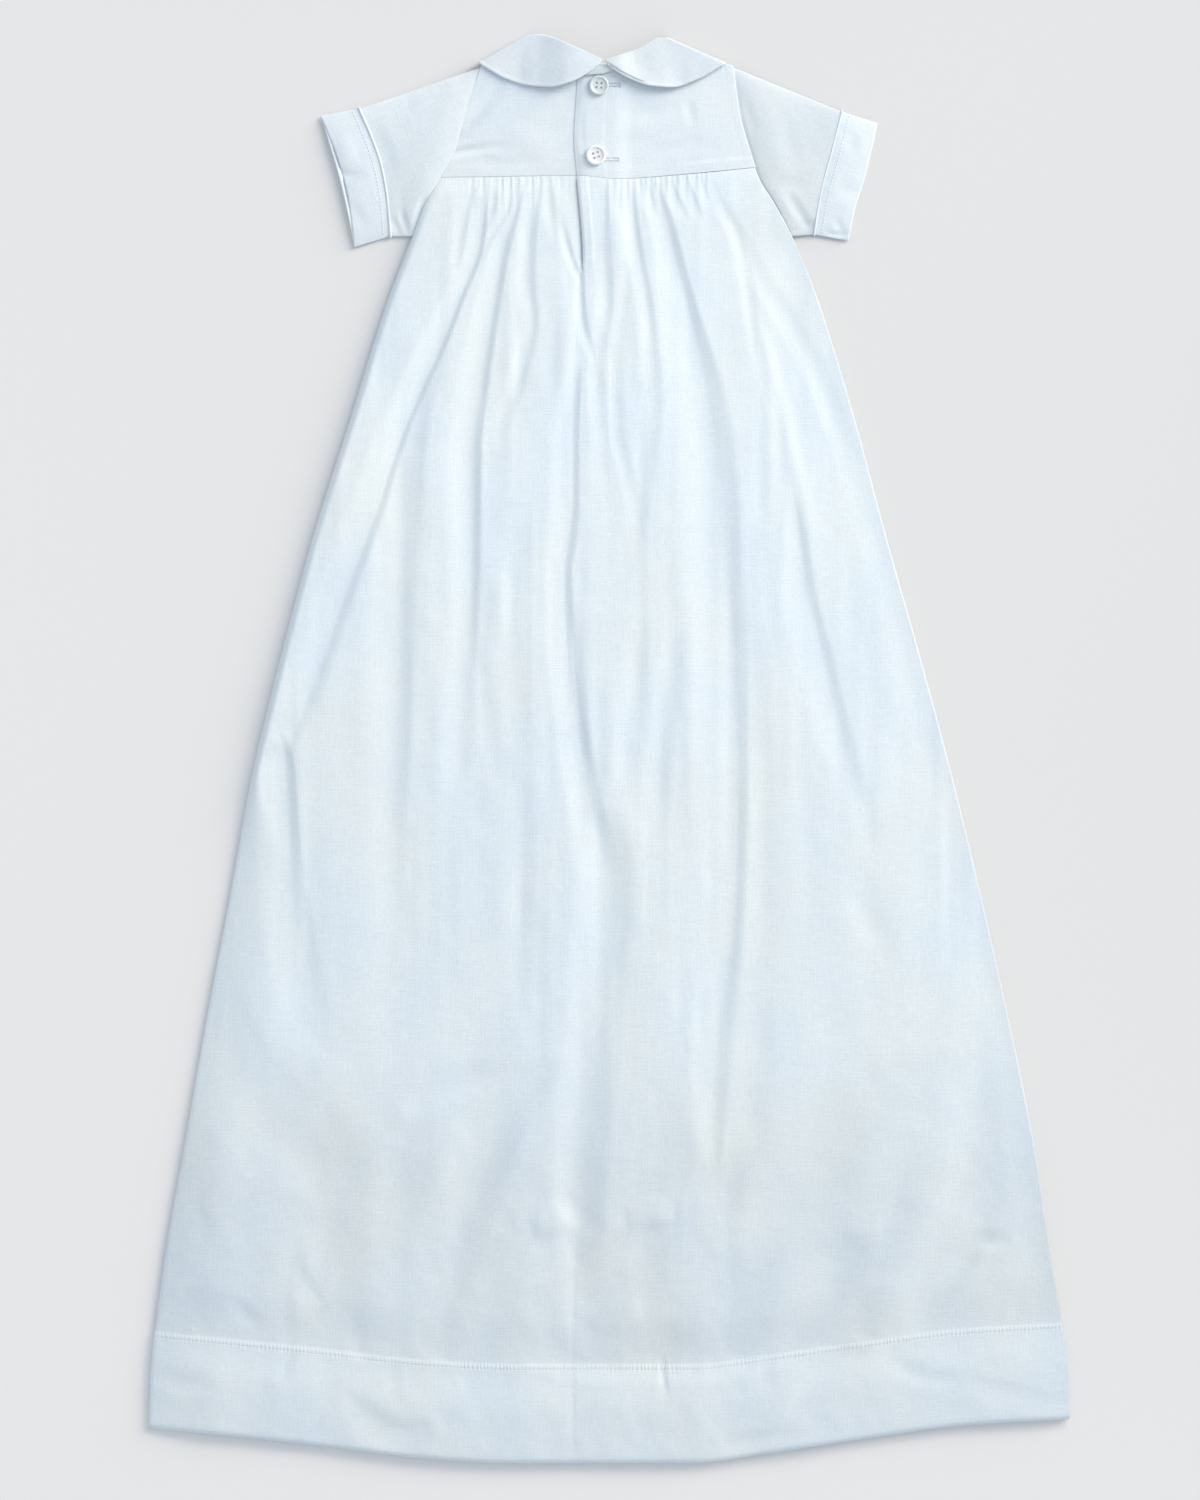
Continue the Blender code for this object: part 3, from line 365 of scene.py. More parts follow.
    "right low three": (
        (1010, 1243, 10, 8, 0), (984, 1248, 20, 10, 1.6), (968, 1270, 34, 12, 1.9),
        (950, 1291, 34, 14, 1.5), (934, 1314, 30, 14, 0.9), (924, 1340, 22, 12, 0)),
    "right low ridge": (
        (962, 1130, 30, 24, 0), (950, 1180, 36, 30, -0.9), (930, 1240, 36, 30, -1.3),
        (902, 1296, 32, 28, -1.2), (880, 1340, 26, 22, 0)),
    "right low side": (
        (972, 1000, 20, 16, 0), (984, 1040, 34, 24, 0.8), (990, 1090, 40, 28, 1), (994, 1150, 40, 28, 0.8),
        (992, 1215, 36, 22, 0.4), (988, 1250, 20, 16, 0)),
    "centre low one": (
        (556, 1064, 16, 16, 0), (537, 1096, 34, 24, 1.2), (506, 1146, 44, 30, 1.9),
        (487, 1200, 48, 32, 1.9), (468, 1250, 46, 32, 1.7), (458, 1300, 40, 28, 1.2),
        (448, 1344, 30, 24, 0.6), (444, 1362, 20, 20, 0)),
    "centre low two": (
        (504, 1074, 12, 14, 0), (474, 1088, 26, 18, 1.2), (440, 1102, 26, 18, 1.1), (408, 1118, 20, 16, 0)),
    "centre low three": (
        (737, 1150, 26, 16, 0), (736, 1190, 48, 24, 0.6), (736, 1250, 50, 26, 0.6),
        (738, 1310, 44, 24, 0.5), (740, 1350, 26, 20, 0)),
    "centre low hollow": (
        (650, 1240, 26, 22, 0), (622, 1290, 44, 40, 1.1), (604, 1330, 40, 36, 1.2), (590, 1354, 26, 26, 0)),
    "left low one": ((198, 1180, 10, 7, 0), (204, 1212, 18, 8, 0.3), (213, 1248, 14, 8, 0)),
    "left low two": (
        (300, 1246, 10, 7, 0), (306, 1270, 26, 8, 0.45), (320, 1294, 20, 8, 0.3), (334, 1310, 10, 7, 0)),
    "left low three": ((232, 1290, 7, 8, 0), (248, 1308, 14, 10, 0.5), (266, 1322, 8, 8, 0)),
    "left low four": (
        (356, 1296, 10, 6, 0), (361, 1326, 22, 8, 0.45), (368, 1352, 16, 7, 0.4), (370, 1362, 8, 6, 0)),
    "left low five": ((396, 1356, 5, 5, 0), (395, 1374, 6, 5, 0.5), (396, 1404, 6, 5, 0)),
    "left low slope": (
        (400, 1140, 26, 30, 0), (424, 1190, 40, 46, 1), (430, 1250, 40, 46, 0.9), (424, 1310, 34, 40, 0.5),
        (420, 1350, 20, 24, 0)),
    "hem pull": (
        (540, 1342, 18, 30, 0), (590, 1341, 22, 44, 1.1), (690, 1340, 22, 46, 1.2),
        (780, 1330, 22, 40, 0.9), (850, 1328, 18, 30, 0)),
    "right low four": (
        (905, 1352, 10, 10, 0), (912, 1366, 14, 12, 0.6), (940, 1372, 14, 12, 0.5), (968, 1374, 10, 10, 0)),
    "right low fold": (
        (770, 1000, 20, 16, 0), (768, 1050, 26, 20, 0.7), (764, 1110, 24, 18, 0.5), (760, 1150, 16, 14, 0)),
    "left low hollow": (
        (330, 1120, 36, 40, 0), (346, 1170, 50, 60, 1.2), (352, 1230, 50, 60, 1.2),
        (350, 1290, 44, 52, 0.9), (346, 1345, 30, 36, 0)),
    "hem dent one": ((150, 1368, 12, 14, 0.5), (178, 1374, 14, 16, 0.8), (214, 1378, 12, 14, 0)),
    "hem dent two": (
        (350, 1386, 14, 10, 0), (376, 1412, 28, 14, 0.8), (402, 1424, 28, 14, 0.9), (432, 1420, 16, 12, 0)),
    "hem dent three": (
        (872, 1352, 12, 12, 0), (838, 1372, 20, 18, 0.9), (808, 1400, 16, 16, 0.5), (796, 1420, 12, 12, 0)),
    "hem dent four": ((960, 1372, 14, 9, 0), (1010, 1386, 22, 12, 0.4), (1066, 1398, 18, 12, 0.2)),
    "hem dent five": ((664, 1352, 5, 5, 0), (666, 1372, 6, 6, 0.6), (668, 1396, 6, 6, 0)),
    "hem dent six": ((771, 1348, 5, 5, 0), (770, 1364, 6, 6, 0.6), (772, 1392, 6, 6, 0)),
    "hem dent seven": ((720, 1440, 16, 10, 0), (750, 1434, 18, 10, 0.6), (800, 1424, 16, 10, 0)),
    "hem dent eight": (
        (296, 1240, 10, 7, 0), (292, 1290, 18, 8, 0.3), (294, 1346, 14, 8, 0.2), (296, 1362, 8, 6, 0)),
    "hem dent nine": ((300, 1352, 6, 6, 0), (290, 1366, 8, 8, 0.4), (286, 1384, 8, 8, 0)),
}

# Creases of the yoke, the sleeves, the cuffs and the collar, written as those of the skirt
YOKE_CREASES = {
    "left pull one": (
        (514, 76, 10, 12, 0), (502, 96, 11, 14, 0.7), (484, 116, 12, 14, 0.9), (464, 136, 10, 12, 0.9),
        (452, 146, 8, 8, 0.4)),
    "left pull two": (
        (446, 153, 6, 6, 0.3), (460, 149, 7, 7, 0.9), (484, 145, 7, 7, 0.6), (512, 142, 6, 6, 0)),
    "left pull three": ((458, 128, 6, 6, 0), (470, 120, 7, 7, 0.5), (490, 100, 7, 7, 0)),
    "left soft": ((500, 120, 20, 18, 0), (530, 132, 22, 20, -0.4), (560, 138, 18, 16, 0)),
    "left low": ((470, 152, 12, 10, 0), (500, 160, 12, 10, 0.3), (545, 158, 12, 10, 0)),
    "right diagonal": ((614, 132, 12, 10, 0), (640, 124, 14, 12, -0.45), (675, 112, 14, 12, 0)),
    "right diagonal dark": ((618, 112, 12, 10, 0), (645, 106, 14, 12, 0.4), (675, 98, 12, 10, 0)),
    "right low": ((640, 148, 12, 10, 0), (680, 142, 12, 10, 0.3), (715, 136, 12, 10, 0)),
    "beside the closing": ((584, 100, 6, 5, 0), (584, 130, 7, 6, 0.35), (585, 160, 6, 5, 0)),
    "below the collar": ((690, 96, 8, 8, 0), (694, 110, 9, 9, 0.35), (696, 128, 8, 8, 0)),
}
SLEEVE_CREASES = {
    "left tuck": ((430, 196, 6, 5, 0), (425, 210, 8, 6, 1.1), (420, 230, 8, 6, 1.1), (418, 240, 6, 5, 0.4)),
    "left tuck two": ((404, 206, 5, 5, 0), (407, 220, 6, 6, 0.9), (413, 236, 6, 6, 0.6)),
    "left fan": ((392, 214, 5, 5, 0), (398, 224, 6, 6, 0.5), (404, 238, 5, 5, 0)),
    "left upper": ((372, 118, 10, 8, 0), (392, 150, 14, 12, 0.35), (400, 190, 12, 10, 0)),
    "left shoulder": ((456, 90, 14, 14, 0), (440, 112, 16, 16, 0.25), (430, 140, 14, 14, 0)),
    "right tuck": ((786, 186, 8, 8, 0), (800, 206, 9, 9, 0.8), (812, 226, 8, 8, 0.4)),
    "right tuck two": ((796, 228, 6, 6, 0.5), (806, 222, 7, 7, 0.8), (822, 220, 6, 6, 0)),
    "right upper": ((742, 80, 8, 8, 0), (752, 110, 10, 10, 0.4), (762, 140, 8, 8, 0)),
    "right cross": ((772, 172, 10, 10, 0), (790, 180, 12, 12, 0.35), (812, 180, 10, 10, 0)),
    "right shoulder": ((790, 108, 14, 12, 0), (796, 140, 16, 14, 0.35), (804, 180, 12, 12, 0)),
}
CUFF_CREASES = {
    "left pinch": ((336, 168, 5, 8, 0.9), (350, 172, 6, 9, 0.7), (366, 170, 5, 8, 0)),
    "left hollow": ((352, 196, 12, 10, 0), (362, 212, 14, 12, 0.4), (372, 226, 10, 8, 0)),
    "left light": ((342, 128, 14, 12, 0), (352, 148, 16, 14, -0.4), (358, 164, 12, 10, 0)),
    "right bend": ((836, 180, 14, 12, 0), (850, 184, 16, 14, 0.5), (864, 186, 14, 12, 0.3)),
    "right crumple one": ((824, 230, 4, 5, 0), (836, 233, 5, 6, 0.9), (850, 232, 4, 5, 0.3)),
    "right crumple two": ((828, 240, 4, 4, 0), (840, 241, 4, 5, 0.7), (850, 243, 4, 4, 0)),
    "right crumple three": ((838, 216, 6, 6, 0), (842, 226, 6, 6, 0.4), (848, 236, 5, 5, 0)),
    "right upper": ((846, 122, 10, 10, 0), (856, 140, 12, 12, 0.3), (860, 160, 10, 10, 0)),
}
COLLAR_CREASES = {
    "left shade": ((526, 34, 26, 24, 0.5), (525, 60, 26, 24, 0.8), (529, 92, 24, 22, 0.5)),
    "left light": (
        (551, 36, 26, 22, -0.25), (551, 60, 26, 22, -0.45), (552, 82, 24, 20, -0.35), (552, 94, 20, 16, 0)),
    "left tip": ((492, 62, 10, 9, 0.2), (508, 56, 12, 10, 0.4), (524, 44, 10, 9, 0)),
    "right shade": ((650, 48, 24, 20, 0.15), (654, 66, 24, 20, 0.25), (660, 90, 22, 18, 0.15)),
    "right light": ((684, 46, 18, 16, 0), (690, 62, 18, 16, -0.4), (696, 78, 16, 14, 0)),
}

# Button: middle, and the turn of its holes in degrees; then its section as radius and height
BUTTONS = {"button_upper": (-6.3, 396.0, 40.0), "button_lower": (-8.1, 354.2, 62.0)}
BUTTON_PROFILE = (
    (0.0, 0.0), (4.6, 0.0), (5.4, 0.18), (5.9, 0.62), (6.0, 1.05), (5.92, 1.45), (5.65, 1.85), (5.25, 2.08),
    (4.85, 2.06), (4.5, 1.84), (4.2, 1.52), (3.95, 1.38), (3.0, 1.30), (1.4, 1.26), (0.0, 1.25))
# Buttonhole: where it runs from and to across, and its height on the yoke
BUTTONHOLES = {"buttonhole_upper": (-5.0, 6.2, 396.6), "buttonhole_lower": (-6.5, 5.4, 352.2)}
BUTTON_SIDES = 72
BUTTON_THREAD_LEVEL = 1.28
BUTTON_HOLE_RADIUS = 0.68
BUTTON_HOLE_SPREAD = 1.9


# Curves and noise

def smoothstep(t):
    t = np.clip(t, 0.0, 1.0)
    return t * t * (3.0 - 2.0 * t)


def rising(x, start, width):
    """Smooth step from 0 at the start to 1 one width further on."""
    return smoothstep((x - start) / width)


def falling(x, start, width):
    return 1.0 - rising(x, start, width)


def bell(x, width):
    return np.exp(-(x / width) ** 2)


def near_edge(distance, width):
    """1 at an edge, and down to 0 at one width from it."""
    return (1.0 - np.clip(distance / width, 0.0, 1.0)) ** 2


def mix(a, b, t):
    return a + (b - a) * t


def through(table, x, value=1):
    """Smooth curve through the rows of a table, with no overshoot."""
    rows = sorted((row[0], row[value]) for row in table)
    xs, ys = np.array(rows, float).T
    rates = np.diff(ys) / np.diff(xs)
    level = rates[:-1] * rates[1:] <= 0.0
    total = np.where(level, 1.0, rates[:-1] + rates[1:])
    inner = np.where(level, 0.0, 2.0 * rates[:-1] * rates[1:] / total)
    slopes = np.concatenate([rates[:1], inner, rates[-1:]])
    x = np.clip(np.asarray(x, float), xs[0], xs[-1])
    i = np.clip(np.searchsorted(xs, x, side="right") - 1, 0, len(xs) - 2)
    h = xs[i + 1] - xs[i]
    t = (x - xs[i]) / h
    return (ys[i] * (1 + 2 * t) * (1 - t) ** 2 + ys[i + 1] * t * t * (3 - 2 * t)
            + h * slopes[i] * t * (1 - t) ** 2 + h * slopes[i + 1] * t * t * (t - 1))


def straight(table, x):
    return np.interp(x, *zip(*table))


def along(points, t):
    """Point at the fraction t of a line of points, by smooth curves in each coordinate."""
    points = np.array(points, float)
    steps = np.linalg.norm(np.diff(points[:, :2], axis=0), axis=1)
    place = np.concatenate([[0.0], np.cumsum(steps)]) / steps.sum()
    return np.stack([through(list(zip(place, column)), t) for column in points.T], axis=-1)


def left_edge(y):
    return through(SIDES, y, 1)


def right_edge(y):
    return through(SIDES, y, 2)


def closing_edge(y):
    return through(CLOSING, y)


def slit_edge(y):
    return through(list(zip(FOLD_HEIGHTS, dict(GUIDES)[SLIT_COLUMN])), y)


def lift(y):
    """Height of the layers under the cloth near the yoke, which run out down the skirt."""
    return YOKE_LIFT * rising(y, LIFT_FOOT, SEAM_HEIGHT - LIFT_FOOT)


def lap(x):
    """Height that the right back gains over the left one, which runs out past the lap."""
    return LAYER * falling(x, LAP_LEVEL_TO, LAP_SINKS_TO - LAP_LEVEL_TO)


def noise(x, y, size_x, size_y, seed):
    """Smooth noise from -1 to 1 on a lattice with cells of the given size."""
    lattice = np.random.RandomState(seed).uniform(-1.0, 1.0, (64, 64))
    u = x / size_x + 500.0
    v = y / size_y + 500.0
    i, j = np.floor(u).astype(int), np.floor(v).astype(int)
    s, t = smoothstep(u - i), smoothstep(v - j)
    low = mix(lattice[i % 64, j % 64], lattice[(i + 1) % 64, j % 64], s)
    high = mix(lattice[i % 64, (j + 1) % 64], lattice[(i + 1) % 64, (j + 1) % 64], s)
    return mix(low, high, t)


def bank(t, rounding=0.3):
    """Rise from 0 to 1 with an even slope, rounded at both ends."""
    foot = 0.5 * t * t / rounding
    head = 1.0 - rounding - 0.5 * (1.0 - t) ** 2 / rounding
    upper = np.where(t > 1.0 - rounding, head, t - 0.5 * rounding)
    return np.where(t < rounding, foot, upper) / (1.0 - rounding)


def creased(creases, x, y, tight=False):
    """Height that a table of creases adds at the places x, y, sharper near the seam where they are tight."""
    total = np.zeros(x.shape)
    for rows in creases.values():
        table = np.array(rows, float)
        if tight:
            for k, width in zip((2, 3), TIGHT_WIDTHS):
                table[:, k] *= mix(width, 1.0, rising(table[:, 1], *TIGHT_ABOVE))
        table[:, 0] = (table[:, 0] - PICTURE_MIDDLE[0]) * PIXEL
        table[:, 1] = (PICTURE_MIDDLE[1] - table[:, 1]) * PIXEL
        table[:, 2:4] *= PIXEL
        line = along(table, np.linspace(0.0, 1.0, 5 * len(table)))
        reach = line[:, 2:4].max() + 1.0
        near = ((x > line[:, 0].min() - reach) & (x < line[:, 0].max() + reach)
                & (y > line[:, 1].min() - reach) & (y < line[:, 1].max() + reach))
        if not near.any():
            continue
        px, py = x[near], y[near]
        best = np.full(px.shape, np.inf)
        side = np.zeros(px.shape)
        row = np.zeros(px.shape + (3,))
        for a, b in zip(line[:-1], line[1:]):
            d = b[:2] - a[:2]
            t = np.clip(((px - a[0]) * d[0] + (py - a[1]) * d[1]) / (d @ d), 0.0, 1.0)
            ox, oy = px - a[0] - t * d[0], py - a[1] - t * d[1]
            far = np.hypot(ox, oy)
            closer = far < best
            best = np.where(closer, far, best)
            side = np.where(closer, np.sign(d[0] * oy - d[1] * ox), side)
            row[closer] = mix(a[2:], b[2:], t[closer, None])
        v = best * side + 0.5 * row[:, 1]
        t = np.clip(np.where(v < 0.0, -v / row[:, 0], v / row[:, 1]), 0.0, 1.0)
        total[near] -= row[:, 2] * (1.0 - bank(t))
    return total


def above_zero(v):
    """v where it is well above zero, and close to zero where it is below it."""
    return 0.5 * (v + np.sqrt(v * v + LEAST_RISE * LEAST_RISE))


# Meshes

def linked(name, data):
    made = bpy.data.objects.new(name, data)
    bpy.context.scene.collection.objects.link(made)
    return made


def mesh_object(name, points, faces, material, turned=False):
    """Smooth object from points in millimetres; its faces are turned over where they face inwards."""
    mesh = bpy.data.meshes.new(name)
    if turned:
        faces = [face[::-1] for face in faces]
    mesh.from_pydata((np.asarray(points).reshape(-1, 3) * MM).tolist(), [], faces)
    mesh.validate()
    mesh.shade_smooth()
    mesh.materials.append(material)
    return linked(name, mesh)


def quads(index):
    """Faces between the neighbours in a grid of point numbers."""
    corners = (index[:-1, :-1], index[1:, :-1], index[1:, 1:], index[:-1, 1:])
    return np.stack(corners, axis=-1).reshape(-1, 4).tolist()


def numbers(rows, columns, start=0):
    return start + np.arange(rows * columns).reshape(rows, columns)


def ring_numbers(rows, columns, start=0):
    """Point numbers of a tube, whose last column is its first again."""
    index = numbers(rows, columns, start)
    return np.hstack([index, index[:, :1]])


def two_sided(name, outer, inner, material, turned=False):
    """Closed piece between two grids of points, joined all round."""
    index = numbers(*outer.shape[:2])
    count = index.size
    faces = quads(index)
    faces += [[i + count for i in reversed(face)] for face in faces]
    ring = np.concatenate([index[0, :-1], index[:-1, -1], index[-1, :0:-1], index[:0:-1, 0]]).tolist()
    faces += [[a, b, b + count, a + count] for a, b in zip(ring, ring[1:] + ring[:1])]
    points = np.concatenate([outer.reshape(-1, 3), inner.reshape(-1, 3)])
    return mesh_object(name, points, faces, material, turned)


def shell(name, x, y, top, thick, material, edge_drop=EDGE_ROUNDING):
    """Closed thin panel whose upper surface is given, with rounded edges all round."""
    thick = np.broadcast_to(thick, x.shape)
    upper = np.stack([x, y, top], axis=-1)
    lower = np.stack([x, y, top - thick], axis=-1)
    for edge in (np.s_[0, :], np.s_[-1, :], np.s_[:, 0], np.s_[:, -1]):
        upper[edge + (2,)] = (top - edge_drop * thick)[edge]
        lower[edge + (2,)] = (top - (1.0 - EDGE_ROUNDING) * thick)[edge]
    return two_sided(name, upper, lower, material)


def spaced(count, near):
    """Fractions from 0 to 1, with two close steps at each end for a rounded edge."""
    inner = np.linspace(2.2 * near, 1.0 - 2.2 * near, count)
    return np.concatenate([[0.0, 0.3 * near, near], inner, [1.0 - near, 1.0 - 0.3 * near, 1.0]])


def set_uv(made, uv):
    layer = made.data.uv_layers.new(name="cloth")
    loops = np.zeros(len(made.data.loops), np.int32)
    made.data.loops.foreach_get("vertex_index", loops)
    layer.data.foreach_set("uv", (uv.reshape(-1, 2)[loops] * MM).astype(np.float32).ravel())


def capsule(middle, direction, length, radius):
    """Points and faces of one small stitch that lies along a direction."""
    direction = direction / np.linalg.norm(direction)
    across = np.cross(UP, direction)
    across = across / np.linalg.norm(across)
    up = np.cross(direction, across)
    points = []
    for s in (-1.0, -0.82, -0.3, 0.3, 0.82, 1.0):
        size = radius * math.sqrt(max(1.0 - s ** 4, 0.02))
        at = middle + 0.5 * length * s * direction - 0.12 * radius * s * s * up
        points += [at + size * (across * math.cos(turn) + up * math.sin(turn))
                   for turn in np.arange(6) * math.pi / 3.0]
    return points, quads(ring_numbers(6, 6)) + [[0, 1, 2, 3, 4, 5], [35, 34, 33, 32, 31, 30]]


def sewing(name, parts, material):
    """One object from the points and faces of many stitches."""
    points, faces = [], []
    for part_points, part_faces in parts:
        faces += [[i + len(points) for i in face] for face in part_faces]
        points += part_points
    made = mesh_object(name, points, faces, material)
    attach(made, "root")
    return made


def stitches(name, path, pitch, length, radius, material):
    """Row of stitches along a path of points."""
    steps = np.linalg.norm(np.diff(path, axis=0), axis=1)
    place = np.concatenate([[0.0], np.cumsum(steps)])

    def at(s):
        return np.array([np.interp(s, place, column) for column in path.T])

    return sewing(name, [capsule(at(s), at(s + 0.5) - at(s) + 1e-9, length, radius)
                         for s in np.arange(0.5 * pitch, place[-1] - 0.5 * pitch, pitch)], material)


# Materials

MOTTLE = 0.10
PUCKER_LENGTH = 2.3
# Changes of tone down the skirt, over heights in metres: from, to, tone before and tone after. The lower and
# upper changes are painted shade, darker towards the hem and near the top; the hem's is its own whiter tone.
LOWER_PAINTED_SHADE = (-0.17, -0.27, 1.012, 0.943)
UPPER_PAINTED_SHADE = (0.18, 0.31, 1.0, 0.975)
HEM_TONE = ((HEM_LINE - 0.5) * MM, (HEM_LINE + 3.5) * MM, 1.0, 1.045)
TOWARDS_WINDOW = (0.85, 0.53, 0.0)
BODY_COLOUR = (0.790, 0.870, 0.922)


class Nodes:
    """Makes the nodes of one material, whose inputs are values or other nodes' outputs."""

    def __init__(self, name, colour, roughness, sheen=0.0, specular=0.3, coat=0.0):
        self.material = bpy.data.materials.new(name)
        self.material.use_nodes = True
        self.tree = self.material.node_tree
        self.shader = self.tree.nodes["Principled BSDF"]
        self.fill(self.shader, {
            "Base Color": (*colour, 1.0), "Roughness": roughness, "Specular IOR Level": specular,
            "Sheen Weight": sheen, "Sheen Roughness": 0.5, "Coat Weight": coat})

    def fill(self, node, inputs):
        for key, value in inputs.items():
            if isinstance(value, bpy.types.NodeSocket):
                self.tree.links.new(value, node.inputs[key])
            else:
                node.inputs[key].default_value = value

    def add(self, kind, inputs=None, **settings):
        node = self.tree.nodes.new("ShaderNode" + kind)
        for key, value in settings.items():
            setattr(node, key, value)
        self.fill(node, inputs or {})
        return node.outputs

    def calc(self, operation, *values):
        return self.add("Math", dict(enumerate(values)), operation=operation)[0]

    def noise(self, where, scale, detail=2.0):
        spread = self.add("Mapping", {"Vector": where, "Scale": scale})[0]
        return self.add("TexNoise", {"Vector": spread, "Scale": 1.0, "Detail": detail})["Fac"]

    def ramp(self, value, start, end, low=0.0, high=1.0, form="SMOOTHSTEP"):
        return self.add("MapRange", {"Value": value, "From Min": start, "From Max": end, "To Min": low,
                                     "To Max": high}, interpolation_type=form)["Result"]

    def bell(self, value, middle, width):
        off = self.calc("DIVIDE", self.calc("SUBTRACT", value, middle * MM), width * MM)
        return self.calc("EXPONENT", self.calc("MULTIPLY", self.calc("MULTIPLY", off, off), -1.0))

    def bump(self, height, strength, distance):
        bumps = self.add("Bump", {"Height": height, "Strength": strength, "Distance": distance * MM})
        self.fill(self.shader, {"Normal": bumps["Normal"]})


def cotton(name, colour, weave=0.33, bump=0.8, hem_puckers_and_painted_shade=False, turn=0.0, painted_edge_shade=1.0):
    """Fine plain-weave cotton: crossing threads, slubs along both, and slow changes of tone, with painted
    shade down the skirt and on upright edges that face the light where asked.
    """
    nodes = Nodes(name, colour, 0.86, sheen=0.12, specular=0.22)
    where = nodes.add("TexCoord")["Object"]
    if turn:
        where = nodes.add("Mapping", {"Vector": where, "Rotation": (0.0, 0.0, turn)})[0]
    x, y, _ = nodes.add("SeparateXYZ", {0: where})
    threads = nodes.calc("ADD", nodes.noise(where, (1400, 90, 200)), nodes.noise(where, (90, 1400, 200)))
    slow = nodes.noise(where, (16, 11, 30), 3.0)
    cloudy = nodes.noise(where, (420, 420, 420), 3.0)
    grain = nodes.noise(where, (1100, 1100, 1100), 1.0)
    warp, weft = (nodes.calc("SINE", nodes.calc("MULTIPLY", axis, math.pi / (weave * MM))) for axis in (x, y))
    checks = nodes.calc("MULTIPLY", warp, weft)
    height = nodes.calc("MULTIPLY_ADD", checks, 0.10, nodes.calc("MULTIPLY", threads, 0.55))
    height = nodes.calc("MULTIPLY_ADD", cloudy, 0.35, height)
    tone = nodes.calc("MULTIPLY_ADD", nodes.calc("SUBTRACT", threads, 1.0), MOTTLE, 1.0)
    for spots, share in ((grain, 1.2), (cloudy, 0.6)):
        tone = nodes.calc("MULTIPLY_ADD", nodes.calc("SUBTRACT", spots, 0.5), share * MOTTLE, tone)
    if hem_puckers_and_painted_shade:
        # The cloth is puckered along the hem's stitches, which lie in a fine groove
        across, below, _ = nodes.add("SeparateXYZ", {0: nodes.add("UVMap", uv_map="cloth")["UV"]})
        place = nodes.calc("MULTIPLY_ADD", nodes.noise(where, (260, 60, 60), 1.0), 0.0030, across)
        wave = nodes.calc("SINE", nodes.calc("MULTIPLY", place, 2.0 * math.pi / (PUCKER_LENGTH * MM)))
        patchy = nodes.calc("MULTIPLY_ADD", nodes.noise(where, (45, 20, 20)), 2.0, -0.4)
        strength = nodes.calc("MULTIPLY", nodes.bell(below, HEM_LINE + 0.6, 2.2), patchy)
        height = nodes.calc("MULTIPLY_ADD", nodes.calc("MULTIPLY", wave, strength), 0.7, height)
        height = nodes.calc("MULTIPLY_ADD", nodes.bell(below, HEM_STITCHES_AT, 0.5), -0.8, height)
        # Painted shade darkens the skirt towards the hem and near its top. The hem is whiter than the cloth
        # above it, because it is three layers thick
        for value, *tones in ((y, *LOWER_PAINTED_SHADE), (y, *UPPER_PAINTED_SHADE), (below, *HEM_TONE)):
            tone = nodes.calc("MULTIPLY", tone, nodes.ramp(value, *tones))
    if painted_edge_shade < 1.0:
        # Painted shade: the upright edges on the right face the low light and would outshine the cloth, so
        # their colour is darkened
        normal = nodes.add("NewGeometry")["True Normal"]
        facing = nodes.add("VectorMath", {0: normal, 1: TOWARDS_WINDOW}, operation="DOT_PRODUCT")["Value"]
        tone = nodes.calc("MULTIPLY", tone, nodes.ramp(facing, 0.35, 0.85, 1.0, painted_edge_shade))
    nodes.bump(height, bump, 0.16)
    cool = (colour[0] * 0.965, colour[1] * 0.985, min(colour[2] * 1.02, 1.0), 1.0)
    warm = (colour[0] * 1.025, colour[1] * 1.01, colour[2] * 0.975, 1.0)
    share = nodes.ramp(slow, 0.3, 0.7, form="LINEAR")
    hue = nodes.add("Mix", {0: share, 6: cool, 7: warm}, data_type="RGBA")[2]
    nodes.fill(nodes.shader, {
        "Base Color": nodes.add("VectorMath", {0: hue, "Scale": tone}, operation="SCALE")[0],
        "Roughness": nodes.calc("MULTIPLY_ADD", cloudy, 0.12, 0.80), "Sheen Tint": (0.93, 0.97, 1.0, 1.0)})
    return nodes.material


def button_material(name, colour, specular):
    """Polished button with faint clouds."""
    nodes = Nodes(name, colour, 0.25, specular=specular, coat=0.3)
    clouds = nodes.noise(nodes.add("TexCoord")["Object"], (300, 300, 300), 3.0)
    dark, light = ((*[min(1.0, share * c) for c in colour], 1.0) for share in (0.93, 1.04))
    nodes.fill(nodes.shader, {
        "Subsurface Weight": 0.15, "Subsurface Radius": (0.001, 0.001, 0.001),
        "Roughness": nodes.calc("MULTIPLY_ADD", clouds, 0.14, 0.18),
        "Base Color": nodes.add("Mix", {0: clouds, 6: dark, 7: light}, data_type="RGBA")[2]})
    return nodes.material


skirt_cotton = cotton("cotton_skirt", BODY_COLOUR, hem_puckers_and_painted_shade=True, painted_edge_shade=0.5)
panel_cotton = cotton("cotton_panel", BODY_COLOUR, painted_edge_shade=0.5)
yoke_cotton = cotton("cotton_yoke", (0.757, 0.828, 0.875))
collar_cotton = cotton("cotton_collar", (0.705, 0.775, 0.835), turn=0.5, painted_edge_shade=0.55)
